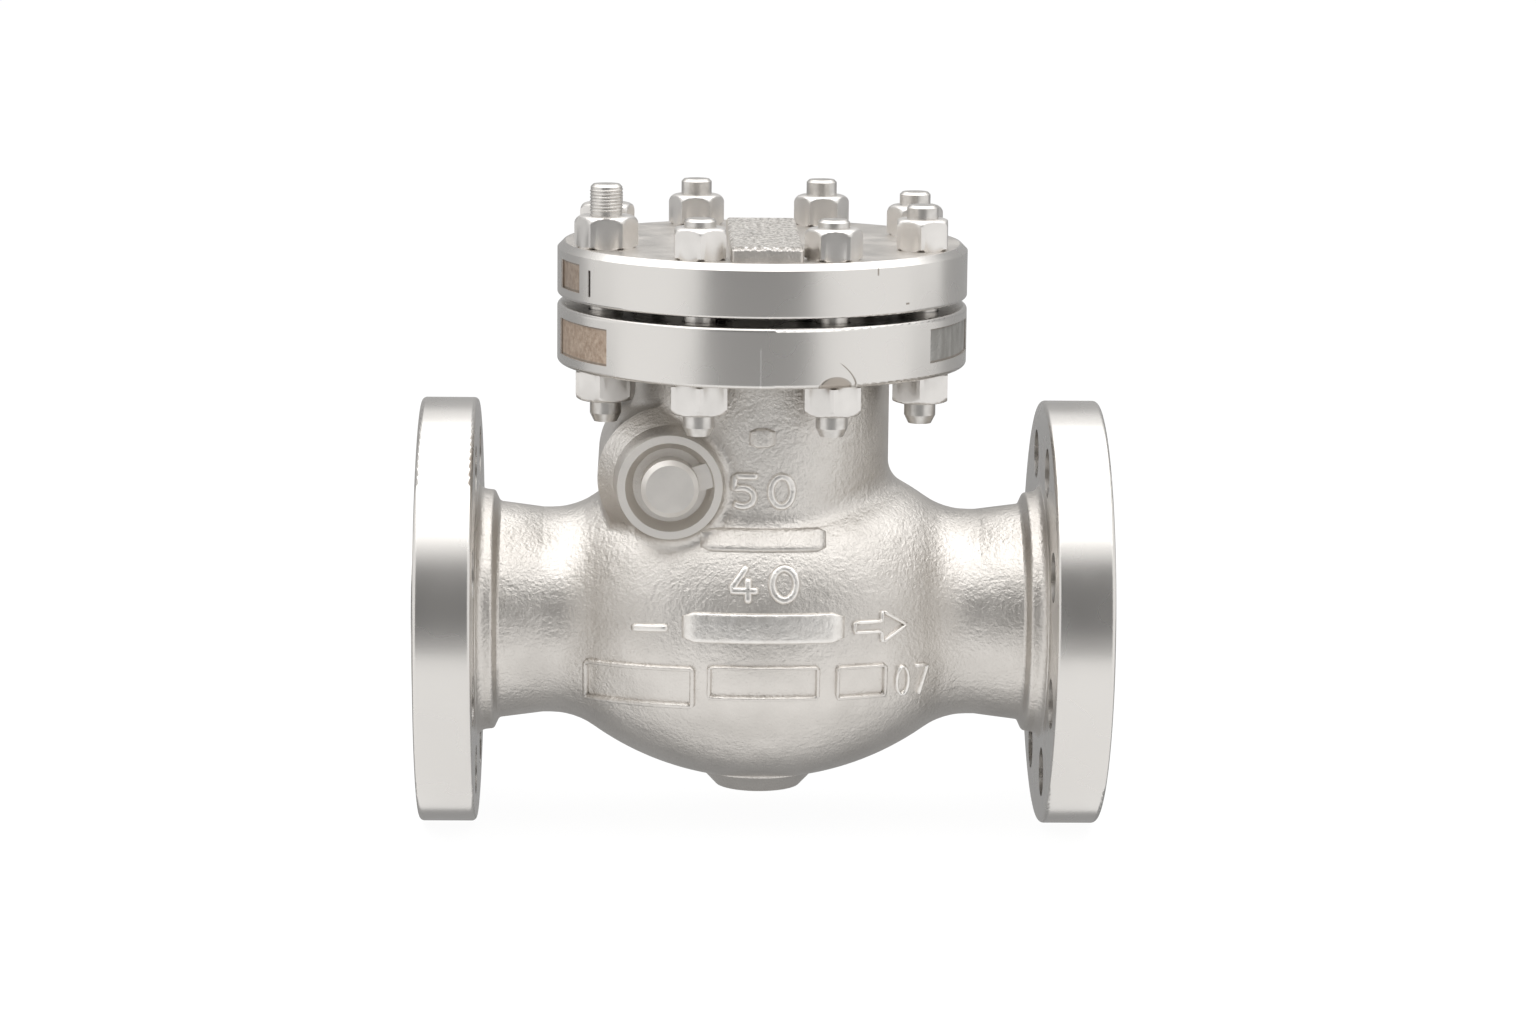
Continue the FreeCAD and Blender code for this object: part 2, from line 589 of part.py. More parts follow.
def divide_casting(casting):
    """The one casting as five pieces that meet on flat planes, each simple round its own hollow."""
    end = "(%s + Sizes.over_cut)" % HALF
    side = "Sizes.parting_side"
    bottom = "-Sizes.end_flange_od"
    top = "(Sizes.bonnet_height + Sizes.joint_face_step + Sizes.over_cut)"
    middle = ("-" + side, side)
    part_off(casting, "body_inlet_end", ("-" + end, "-" + side), (bottom, FLANGE_FLOOR))
    part_off(casting, "body_outlet_end", (side, end), (bottom, FLANGE_FLOOR))
    part_off(casting, "body_belly", middle, (bottom, "Sizes.parting_height"))
    part_off(casting, "body_upright_neck", middle, ("Sizes.parting_height", FLANGE_FLOOR))
    part_off(casting, "body_cover_flange", ("-" + end, end), (FLANGE_FLOOR, top))


def put(body, place, turn=0, axis=(0, 0, 1)):
    """Turn a piece about its own zero and move that zero to a place given by expressions."""
    turning = FreeCAD.Rotation(FreeCAD.Vector(*axis), turn)
    body.Placement = FreeCAD.Placement(FreeCAD.Vector(0, 0, 0), turning)
    body.setExpression("Placement.Base.x", "%s + %s" % (HALF, place[0]))
    body.setExpression("Placement.Base.y", place[1])
    body.setExpression("Placement.Base.z", place[2])


def make_seat_ring():
    """A screwed ring with a raised seat land and four driving notches."""
    ring = new_body("seat_ring")
    bore = "Sizes.pipe_bore / 2"
    shank = "Sizes.seat_thread_od / 2"
    flange = "Sizes.seat_flange_od / 2"
    land = "Sizes.seat_land_od / 2"
    front = "-Sizes.seat_plane - Sizes.seat_land_step"
    corners = [
        ("-Sizes.seat_bridge - Sizes.seat_thread_long", bore),
        ("-Sizes.seat_bridge - Sizes.seat_thread_long", shank),
        ("-Sizes.seat_bridge", shank),
        ("-Sizes.seat_bridge", flange),
        (front, flange),
        (front, land),
        ("-Sizes.seat_plane", land),
        ("-Sizes.seat_plane", bore + " + Sizes.seat_land_step"),
        (front, bore),
    ]
    revolve(ring, "Revolution", "ring", "XZ_Plane", corners, "H_Axis")
    round_circles(ring, "flange_edge", "Sizes.small_chamfer", [("x", front, flange)], "Chamfer")
    sketch = new_sketch(ring, "YZ_Plane", "notch_outline", ("0", "0", front))
    notch = [
        ("-Sizes.seat_notch / 2", flange + " - Sizes.seat_notch_deep"),
        ("Sizes.seat_notch / 2", flange + " - Sizes.seat_notch_deep"),
        ("Sizes.seat_notch / 2", flange + " + Sizes.over_cut"),
        ("-Sizes.seat_notch / 2", flange + " + Sizes.over_cut"),
    ]
    draw_outline(sketch, notch)
    depth = "Sizes.seat_bridge - Sizes.seat_plane - Sizes.seat_land_step"
    cut = finish(ring, "Pocket", "notch", sketch, Length=depth)
    repeat_round(ring, "notches", [cut], "X_Axis", "Sizes.seat_notch_count")


DISC_BACK = "Sizes.disc_thick - Sizes.seat_plane"
HUB_START = DISC_BACK + " + Sizes.end_play"
HUB_BACK = HUB_START + " + Sizes.arm_hub_long"
WASHER_START = HUB_BACK + " + Sizes.end_play"
NUT_START = WASHER_START + " + Sizes.washer_thick"
NUT_END = NUT_START + " + Sizes.disc_nut_high"
STEM_END = NUT_END + " + Sizes.stem_end"
SPLIT_PIN_HALF = "(Sizes.disc_nut_flats / 2 + Sizes.split_pin / 2 + Sizes.small_play)"
SPLIT_PIN_AT = NUT_END + " - Sizes.slot_depth / 2"


def make_disc():
    """The closing disc, turned in one piece with its stem."""
    disc = new_body("disc")
    edge = "Sizes.disc_diameter / 2"
    stem = "Sizes.stem_diameter / 2"
    dish = "Sizes.pipe_bore / 2 - Sizes.disc_dish"
    corners = [
        ("Sizes.disc_dish - Sizes.seat_plane", "0"),
        ("Sizes.disc_dish - Sizes.seat_plane", dish),
        ("-Sizes.seat_plane", dish + " + Sizes.disc_dish"),
        ("-Sizes.seat_plane", edge),
        (DISC_BACK, edge),
        (DISC_BACK, stem),
        (STEM_END, stem),
        (STEM_END, "0"),
    ]
    revolve(disc, "Revolution", "disc_and_stem", "XZ_Plane", corners, "H_Axis")
    round_circles(disc, "back_edge", "Sizes.disc_chamfer", [("x", DISC_BACK, edge)], "Chamfer")
    round_circles(disc, "stem_tip", "Sizes.small_chamfer", [("x", STEM_END, stem)], "Chamfer")
    hole = [(SPLIT_PIN_AT, "0", "Sizes.split_pin + 2 * Sizes.thread_play")]
    through = "2 * Sizes.stem_diameter"
    round_post(disc, "Pocket", "split_pin_hole", "XY_Plane", hole, Midplane=True, Length=through)


def make_arm():
    """The swing arm: an eye on the hinge pin, a ribbed lever, the hub of the disc and a stop heel."""
    arm = new_body("hinge_arm")
    pin = ("-Sizes.pin_offset", "Sizes.pin_height")
    eye = [pin + ("Sizes.arm_eye_od",)]
    long = "2 * (Sizes.chamber_half - Sizes.end_play)"
    round_post(arm, "Pad", "eye", "XZ_Plane", eye, Midplane=True, Length=long)
    hub = [("0", "0", "Sizes.arm_hub_od")]
    round_post(arm, "Pad", "hub", "YZ_Plane", hub, ("0", "0", HUB_START), Length="Sizes.arm_hub_long")
    plate = [
        ("-Sizes.arm_plate_wide / 2", "Sizes.pin_height"),
        ("-Sizes.arm_hub_od / 2 + Sizes.small_chamfer", "0"),
        ("Sizes.arm_hub_od / 2 - Sizes.small_chamfer", "0"),
        ("Sizes.arm_plate_wide / 2", "Sizes.pin_height"),
    ]
    sketch = new_sketch(arm, "YZ_Plane", "plate_outline", ("0", "0", HUB_START))
    draw_outline(sketch, plate)
    finish(arm, "Pad", "plate", sketch, Length="Sizes.arm_plate")
    low = "Sizes.arm_hub_od / 2 - Sizes.small_chamfer"
    rib = [
        (HUB_START, low),
        (HUB_BACK, low),
        (HUB_BACK, "Sizes.pin_height - Sizes.arm_eye_od"),
        ("Sizes.arm_eye_od / 2 - Sizes.pin_offset - Sizes.end_play", "Sizes.pin_height"),
        (HUB_START, "Sizes.pin_height"),
    ]
    sketch = new_sketch(arm, "XZ_Plane", "rib_outline")
    draw_outline(sketch, rib)
    finish(arm, "Pad", "rib", sketch, Midplane=True, Length="Sizes.arm_rib")
    wall = "sqrt(Sizes.bonnet_bore ^ 2 - Sizes.arm_rib ^ 2) / 2 - Sizes.pin_offset - Sizes.end_play"
    near = "(Sizes.swing_open - asin((%s) / Sizes.heel_reach) / 1 deg)" % wall
    far = "(%s + Sizes.heel_width)" % near
    root = "Sizes.arm_eye_od / 4"
    heel = []
    for reach, angle in ((root, near), ("Sizes.heel_reach", near), ("Sizes.heel_reach", far), (root, far)):
        across = "(%s) * sin(%s) - Sizes.pin_offset" % (reach, angle)
        up = "(%s) * cos(%s) + Sizes.pin_height" % (reach, angle)
        heel.append((across, up))
    sketch = new_sketch(arm, "XZ_Plane", "heel_outline")
    draw_outline(sketch, heel)
    finish(arm, "Pad", "heel", sketch, Midplane=True, Length="Sizes.arm_rib")
    bore = [pin + ("Sizes.pin_diameter + 2 * Sizes.pin_play",)]
    round_post(arm, "Pocket", "pin_bore", "XZ_Plane", bore, Midplane=True, Length="4 * Sizes.chamber_half")
    stem = [("0", "0", "Sizes.stem_diameter + 2 * Sizes.stem_play")]
    round_post(
        arm, "Pocket", "stem_bore", "YZ_Plane", stem, ("0", "0", HUB_START + " - Sizes.over_cut"),
        Reversed=True, Length="Sizes.arm_hub_long + 2 * Sizes.over_cut",
    )


def make_washer():
    washer = new_body("disc_washer")
    bore = "Sizes.stem_diameter / 2 + Sizes.thread_play"
    corners = [
        (WASHER_START, bore),
        (WASHER_START, "Sizes.washer_od / 2"),
        (NUT_START, "Sizes.washer_od / 2"),
        (NUT_START, bore),
    ]
    revolve(washer, "Revolution", "ring", "XZ_Plane", corners, "H_Axis")


def hexagon(flats):
    """The corners of a hexagon with these flats."""
    corners = []
    for turn in range(0, 360, 60):
        corners.append(("%s / sqrt(3) * cos(%d)" % (flats, turn), "%s / sqrt(3) * sin(%d)" % (flats, turn)))
    return corners


def make_disc_nut():
    """The slotted nut that holds the disc on its arm."""
    nut = new_body("disc_nut")
    sketch = new_sketch(nut, "YZ_Plane", "hexagon", ("0", "0", NUT_START))
    draw_outline(sketch, hexagon("Sizes.disc_nut_flats"))
    finish(nut, "Pad", "prism", sketch, Length="Sizes.disc_nut_high")
    bore = [("0", "0", "Sizes.stem_diameter + 2 * Sizes.thread_play")]
    round_post(
        nut, "Pocket", "bore", "YZ_Plane", bore, ("0", "0", NUT_START + " - Sizes.over_cut"),
        Reversed=True, Length="Sizes.disc_nut_high + 2 * Sizes.over_cut",
    )
    sketch = new_sketch(nut, "YZ_Plane", "slot_outline", ("0", "0", NUT_END))
    slot = [
        ("-Sizes.slot_width / 2", "0"),
        ("Sizes.slot_width / 2", "0"),
        ("Sizes.slot_width / 2", "Sizes.disc_nut_flats"),
        ("-Sizes.slot_width / 2", "Sizes.disc_nut_flats"),
    ]
    draw_outline(sketch, slot)
    cut = finish(nut, "Pocket", "slot", sketch, Length="Sizes.slot_depth")
    repeat_round(nut, "slots", [cut], "X_Axis", "Sizes.slot_count")


def make_split_pin():
    """The split pin through nut and stem, with its eye above and its legs bent apart below."""
    pin = new_body("disc_split_pin")
    round_post(
        pin, "Pad", "shank", "XY_Plane", [(SPLIT_PIN_AT, "0", "Sizes.split_pin")],
        Midplane=True, Length="2 * " + SPLIT_PIN_HALF,
    )
    wire = "Sizes.split_pin / 3"
    ring = "Sizes.split_pin * 0.7"
    half = SPLIT_PIN_HALF
    sketch = new_sketch(pin, "XZ_Plane", "eye_wire", (SPLIT_PIN_AT, "%s + %s" % (half, ring), "0"))
    draw_circle(sketch, "0", ring, "2 * " + wire)
    finish(pin, "Revolution", "eye", sketch, ReferenceAxis=(sketch, ["H_Axis"]))
    legs = [("0", "-" + half, "Sizes.split_pin * 0.9")]
    round_post(
        pin, "Pad", "legs", "YZ_Plane", legs, ("0", "0", SPLIT_PIN_AT + " - Sizes.split_pin_legs / 2"),
        Length="Sizes.split_pin_legs",
    )


def make_hinge_pin():
    pin = new_body("hinge_pin")
    put(pin, PIN_CENTRE)
    edge = "Sizes.pin_diameter / 2"
    half = "(%s)" % PIN_HALF
    corners = [
        ("0", "-" + half),
        (edge + " - Sizes.small_chamfer", "-" + half),
        (edge, "Sizes.small_chamfer - " + half),
        (edge, half + " - Sizes.small_chamfer"),
        (edge + " - Sizes.small_chamfer", half),
        ("0", half),
    ]
    revolve(pin, "Revolution", "pin", "XY_Plane", corners, "V_Axis")


def make_plug(side, turn):
    """The round plug over one end of the hinge pin, screwed down on its washer."""
    plug = new_body("hinge_plug_" + side)
    put(plug, PIN_CENTRE, turn)
    seat = "-(%s) - Sizes.plug_washer_thick" % DISH_FLOOR
    face = seat + " - Sizes.plug_head_high"
    head = "Sizes.plug_head / 2"
    corners = [
        ("0", face),
        (head + " - Sizes.plug_chamfer", face),
        (head, face + " + Sizes.plug_chamfer"),
        (head, seat),
        ("Sizes.plug_shank / 2", seat),
        ("Sizes.plug_shank / 2", "-(%s) + Sizes.plug_shank_long - Sizes.small_chamfer" % DISH_FLOOR),
        ("Sizes.plug_shank / 2 - Sizes.small_chamfer", "-(%s) + Sizes.plug_shank_long" % DISH_FLOOR),
        ("0", "-(%s) + Sizes.plug_shank_long" % DISH_FLOOR),
    ]
    revolve(plug, "Revolution", "plug", "XY_Plane", corners, "V_Axis")


def make_plug_washer(side, turn):
    washer = new_body("plug_washer_" + side)
    put(washer, PIN_CENTRE, turn)
    bore = "Sizes.plug_shank / 2 + Sizes.thread_play"
    outer = "-(%s) - Sizes.plug_washer_thick" % DISH_FLOOR
    corners = [
        (bore, "-(%s)" % DISH_FLOOR),
        (bore, outer),
        ("Sizes.plug_head / 2", outer),
        ("Sizes.plug_head / 2", "-(%s)" % DISH_FLOOR),
    ]
    revolve(washer, "Revolution", "ring", "XY_Plane", corners, "V_Axis")


def make_plug_lock(side, turn):
    """A block between the plug and the ring of the boss, which keeps the plug from turning."""
    lock = new_body("plug_lock_" + side)
    put(lock, PIN_CENTRE, turn)
    sketch = new_sketch(lock, "XZ_Plane", "block_outline", ("0", "0", DISH_FLOOR))
    corners = (("0", "-0.5"), (DISH_EDGE, "-0.5"), (DISH_EDGE, "0.5"), ("0", "0.5"))
    block = []
    for along, side_step in corners:
        up = side_step + " * Sizes.lock_width"
        across = "%s * cos(Sizes.lock_angle) - (%s) * sin(Sizes.lock_angle)" % (along, up)
        height = "%s * sin(Sizes.lock_angle) + (%s) * cos(Sizes.lock_angle)" % (along, up)
        block.append((across, height))
    draw_outline(sketch, block)
    finish(lock, "Pad", "block", sketch, Length="Sizes.lock_depth")
    slope = "(Sizes.dish_diameter - Sizes.dish_floor) / 2 / Sizes.dish_depth"
    near = "Sizes.dish_floor / 2 - Sizes.small_play"
    depth = "(Sizes.lock_depth + Sizes.over_cut)"
    outer = "-(%s) - %s" % (DISH_FLOOR, depth)
    trim = [
        (near, "-(%s)" % DISH_FLOOR),
        ("%s + %s * %s" % (near, slope, depth), outer),
        ("Sizes.dish_diameter", outer),
        ("Sizes.dish_diameter", "-(%s)" % DISH_FLOOR),
    ]
    revolve(lock, "Groove", "outer_trim", "XY_Plane", trim, "V_Axis")
    bore = [("0", "0", "Sizes.plug_head + 2 * Sizes.small_play")]
    round_post(
        lock, "Pocket", "inner_trim", "XZ_Plane", bore, ("0", "0", DISH_FLOOR + " - Sizes.over_cut"),
        Reversed=True, Length="Sizes.lock_depth + 2 * Sizes.over_cut",
    )


def make_cover():
    """The blank cover with its joint face below and a raised plate on top."""
    cover = new_body("cover")
    edge = "Sizes.cover_flange_od / 2"
    under = COVER_SEAT + " - Sizes.joint_face_step"
    corners = [
        ("0", under),
        ("Sizes.joint_face_od / 2", under),
        ("Sizes.joint_face_od / 2", COVER_SEAT),
        (edge, COVER_SEAT),
        (edge, COVER_TOP),
        ("0", COVER_TOP),
    ]
    revolve(cover, "Revolution", "blank", "XZ_Plane", corners, "V_Axis")
    round_circles(cover, "upper_rim", "Sizes.cover_chamfer", [("z", COVER_TOP, edge)], "Chamfer")
    round_circles(cover, "lower_rim", "Sizes.cover_round", [("z", COVER_SEAT, edge)])
    sketch = new_sketch(cover, "XY_Plane", "plate_outline", ("0", "0", COVER_TOP))
    plate = [
        ("-Sizes.plate_width / 2", "-Sizes.plate_front"),
        ("Sizes.plate_width / 2", "-Sizes.plate_front"),
        ("Sizes.plate_width / 2", "Sizes.plate_back"),
        ("-Sizes.plate_width / 2", "Sizes.plate_back"),
    ]
    draw_outline(sketch, plate)
    finish(cover, "Pad", "plate", sketch, Length="Sizes.plate_height")
    top = size(COVER_TOP + " + Sizes.plate_height")
    base = size(COVER_TOP)

    def is_plate_edge(edge):
        box = edge.BoundBox
        return box.ZMax > top - 0.01 and box.ZMin > base - 0.01

    round_edges(cover, "plate_edges", "Sizes.plate_round", is_plate_edge)
    cut_stud_holes(cover, COVER_TOP, "Sizes.cover_thick")
    cut_rim_spots(cover, COVER_RIM_SPOTS, COVER_SEAT)


def make_gasket():
    gasket = new_body("cover_gasket")
    low = "Sizes.bonnet_height + Sizes.joint_face_step"
    high = low + " + Sizes.gasket_thick"
    corners = [
        ("Sizes.gasket_bore / 2", low),
        ("Sizes.joint_face_od / 2", low),
        ("Sizes.joint_face_od / 2", high),
        ("Sizes.gasket_bore / 2", high),
    ]
    revolve(gasket, "Revolution", "ring", "XZ_Plane", corners, "V_Axis")


def stud_place(number, height):
    """Where stud number 1 to 8 stands, counted round from the front, at a height expression."""
    angle = "(%s) * 360 / Sizes.stud_count" % (number - 0.5)
    across = "Sizes.stud_circle / 2 * sin(%s)" % angle
    along = "-Sizes.stud_circle / 2 * cos(%s)" % angle
    return across, along, height


def make_stud(number):
    """A stud bolt, chamfered at both ends."""
    stud = new_body("cover_stud_%d" % number)
    foot = "%s - Sizes.lower_nut_high - Sizes.stud_foot" % FLANGE_FLOOR
    put(stud, stud_place(number, foot))
    nut = "Sizes.tall_nut_high" if number == TALL_NUT else "Sizes.upper_nut_high"
    long = "%s + %s + %s - (%s)" % (COVER_TOP, nut, STUD_STAND_OUT[number - 1], foot)
    edge = "Sizes.stud_diameter / 2"
    corners = [
        ("0", "0"),
        (edge + " - Sizes.stud_tip", "0"),
        (edge, "2 * Sizes.stud_tip"),
        (edge, long + " - Sizes.small_chamfer"),
        (edge + " - Sizes.small_chamfer", long),
        ("0", long),
    ]
    revolve(stud, "Revolution", "stud", "XZ_Plane", corners, "V_Axis")


def make_nut(label, place, flats, high, turn):
    """A hexagon nut, chamfered on both faces."""
    nut = new_body(label)
    put(nut, place, turn)
    sketch = new_sketch(nut, "XY_Plane", "hexagon")
    draw_outline(sketch, hexagon(flats))
    finish(nut, "Pad", "prism", sketch, Length=high)
    circle = [("0", "0", "Sizes.stud_diameter + 2 * Sizes.thread_play")]
    round_post(nut, "Pocket", "bore", "XY_Plane", circle, ("0", "0", high), Length=high + " + Sizes.over_cut")
    corner = flats + " / sqrt(3)"
    flat = flats + " / 2"
    slope = "(%s - %s) * Sizes.nut_slope" % (corner, flat)
    trim = [
        (flat, "0"),
        (corner + " + Sizes.over_cut", "0"),
        (corner + " + Sizes.over_cut", slope),
        (corner, slope),
    ]
    revolve(nut, "Groove", "lower_chamfer", "XZ_Plane", trim, "V_Axis")
    trim = [(across, "%s - %s" % (high, up) if up != "0" else high) for across, up in trim]
    revolve(nut, "Groove", "upper_chamfer", "XZ_Plane", trim, "V_Axis")


def make_cover_fasteners():
    """Eight studs with a nut above and a nut below each."""
    for number in range(1, len(STUD_STAND_OUT) + 1):
        make_stud(number)
        tall = number == TALL_NUT
        flats = "Sizes.tall_nut_flats" if tall else "Sizes.upper_nut_flats"
        high = "Sizes.tall_nut_high" if tall else "Sizes.upper_nut_high"
        place = stud_place(number, COVER_TOP)
        make_nut("upper_nut_%d" % number, place, flats, high, UPPER_NUT_TURN[number - 1])
        place = stud_place(number, FLANGE_FLOOR + " - Sizes.lower_nut_high")
        make_nut(
            "lower_nut_%d" % number, place, "Sizes.lower_nut_flats", "Sizes.lower_nut_high",
            LOWER_NUT_TURN[number - 1],
        )


def check_document():
    """Stop if any object failed to compute or any piece isn't one sound solid."""
    for item in doc.Objects:
        if "Invalid" in item.State or "Error" in item.State:
            raise RuntimeError("failed: " + item.Label)
    for piece in pieces():
        shape = piece.Shape
        if shape.isNull() or not shape.isValid() or len(shape.Solids) != 1:
            raise RuntimeError("not one sound solid: " + piece.Label)


def pieces():
    """Every sub-part of the document, with the casting as the pieces it is divided into."""
    bodies = [item for item in doc.Objects if item.TypeId == "PartDesign::Body" and item.Label != "casting"]
    return CASTING_PIECES + bodies


def write_pieces():
    """Write each sub-part to a STEP file that bears its label."""
    os.makedirs("parts", exist_ok=True)
    for piece in pieces():
        piece.Shape.exportStep(os.path.join("parts", piece.Label + ".step"))


fill_sheet()
divide_casting(make_casting())
make_seat_ring()
make_hinge_pin()
make_arm()
make_disc()
make_washer()
make_disc_nut()
make_split_pin()
for side, turn in (("front", 0), ("rear", 180)):
    make_plug_washer(side, turn)
    make_plug(side, turn)
    make_plug_lock(side, turn)
make_gasket()
make_cover()
make_cover_fasteners()
doc.recompute()
check_document()
write_pieces()
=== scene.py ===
import math

import bmesh
import bpy
from mathutils import Matrix, Vector
from mathutils.bvhtree import BVHTree


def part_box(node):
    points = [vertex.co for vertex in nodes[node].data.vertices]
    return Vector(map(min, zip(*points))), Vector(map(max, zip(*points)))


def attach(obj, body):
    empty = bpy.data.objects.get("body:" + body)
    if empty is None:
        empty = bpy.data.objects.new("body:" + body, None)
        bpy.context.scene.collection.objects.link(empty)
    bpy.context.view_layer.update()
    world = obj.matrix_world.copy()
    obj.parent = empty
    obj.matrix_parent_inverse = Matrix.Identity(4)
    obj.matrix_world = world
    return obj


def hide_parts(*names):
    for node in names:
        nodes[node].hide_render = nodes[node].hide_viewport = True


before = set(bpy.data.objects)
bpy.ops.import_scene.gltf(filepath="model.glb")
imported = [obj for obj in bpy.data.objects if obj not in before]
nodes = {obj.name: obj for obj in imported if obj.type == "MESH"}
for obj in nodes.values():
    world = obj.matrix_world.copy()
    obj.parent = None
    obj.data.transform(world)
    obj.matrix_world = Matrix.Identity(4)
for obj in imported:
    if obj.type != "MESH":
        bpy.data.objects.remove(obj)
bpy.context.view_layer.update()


# Swing check valve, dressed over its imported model
# Sizes are in metres, or in millimetres times MM, and angles round the cover are in degrees from the front.
# The front of the valve looks along -Y, the flow runs along +X and the cover's axis is upright.

MM = 0.001
scene = bpy.context.scene


# Casing
# One hollow steel casting with its end flanges, belly, upright neck and hinge bosses, packed as five nodes.
# The sand mould leaves a pebbled skin; the flanges are turned, and the bosses are dressed smoother.
# The hinge bosses and the upright neck are painted a brighter colour, a painted highlight.

CASTING = ("body_inlet_end", "body_outlet_end", "body_belly", "body_upright_neck", "body_cover_flange")
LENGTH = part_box("body_outlet_end")[1].x
COVER_AXIS = LENGTH / 2
RIM_RADIUS = (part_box("cover")[1].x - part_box("cover")[0].x) / 2
FLANGE_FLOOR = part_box("lower_nut_1")[1].z
FLANGE_THICK = 24 * MM
TURNED_STARTS = 0.5 * MM
TURNED_FULL = 0.2 * MM
PIN_X = (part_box("hinge_pin")[0].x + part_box("hinge_pin")[1].x) / 2
PIN_Z = (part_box("hinge_pin")[0].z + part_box("hinge_pin")[1].z) / 2
BOSS_RADIUS = 19.9 * MM
BOSS_EDGE = 0.3 * MM
BOSS_FACE = 49 * MM
BOSS_LIP = 1.0 * MM
NECK_FOOT = 44 * MM
NECK_BLEND = 14 * MM

CAST_COLOUR = (0.725, 0.692, 0.652)
CAST_DARK = (0.620, 0.590, 0.553)
# Painted highlight: a brighter cast colour that stands in for the light caught by the hinge bosses, the upright
# neck and the raised signs.
PAINTED_HIGHLIGHT_CAST = (0.82, 0.79, 0.75)
TURNED_COLOUR = (0.715, 0.692, 0.662)
STAIN_COLOUR = (0.42, 0.375, 0.33)
CRACK_COLOUR = (0.32, 0.285, 0.25)
BRIGHT_LINE_COLOUR = (0.86, 0.84, 0.81)
TAN_COLOUR = (0.47, 0.36, 0.28)
TAN_LIGHT = (0.66, 0.55, 0.45)
GREY_SPOT_COLOUR = (0.36, 0.35, 0.33)
GREY_SPOT_LIGHT = (0.50, 0.49, 0.47)

# Each relief has the size of its features and their height.
HOLLOWS = (7 * MM, 0.34 * MM)
GRAIN = (1.5 * MM, 0.34 * MM)
PEBBLES = (1.2 * MM, 0.09 * MM)
TOOL_MARKS = (0.6 * MM, 0.002 * MM)
TOOL_STRETCH = 120
GRAIN_ROUGHNESS = 0.68

# Each roughness goes from its first value to its second, in patches of the size named wear.
CAST_CLOUDS = 26 * MM
CLOUD_SPREAD = (0.35, 0.68)
CAST_ROUGHNESS = (0.28, 0.40)
CAST_WEAR = 14 * MM
SATIN_ROUGHNESS = (0.24, 0.30)
SATIN_WEAR = 30 * MM
SPOT_DULLER = 0.25
BOSS_DULLER = 0.18
NECK_DULLER = 0.08
# Share of the painted highlight on the upright neck.
NECK_PAINTED_HIGHLIGHT = 0.6
NECK_COARSER = 0.3

# Two rough spots left in the cover flange's rim: middle and width in degrees, the middle's height, how tall.
TAN_SPOT = {"middle": -64, "width": 30, "height": FLANGE_FLOOR + 11.5 * MM, "tall": 14 * MM}
GREY_SPOT = {"middle": 69, "width": 34, "height": FLANGE_FLOOR + 12.5 * MM, "tall": 13 * MM}
SPOT_EDGE = 0.4 * MM
SPOT_SUNK = (0.2 * MM, 0.5 * MM)
SPOT_LINE = (-0.3 * MM, 0.25 * MM, 0.35 * MM)
SPOT_LINE_SHARE = 0.75
SPOT_PATCHES = 2.4 * MM
SPOT_STREAKS = 3.4 * MM
SPOT_SPREAD = (0.35, 0.70)

# Marks on that rim: middle, half width and soft edge of each, in degrees or in millimetres upwards.
STAIN_TURN = 19.0
STAIN_WIDE = 4.6
STAIN_HIGH = 4.2
STAIN_FADE = (1.15, 0.85)
STAIN_OUTLINE = (1.0, 0.05, 0.12)
OUTLINE_SHARE = 0.55
CRACK_TURN = 25.0
CRACK_BEND = -0.053
CRACK_WIDE = (0.08, 0.26)
CRACK_UP = (5.0, 3.6, 1.2)
CRACK_DEEP = 0.15 * MM
BRIGHT_LINE_TURN = (-1.7, 0.12, 0.25)
BRIGHT_LINE_UP = (8.0, 6.5, 1.5)


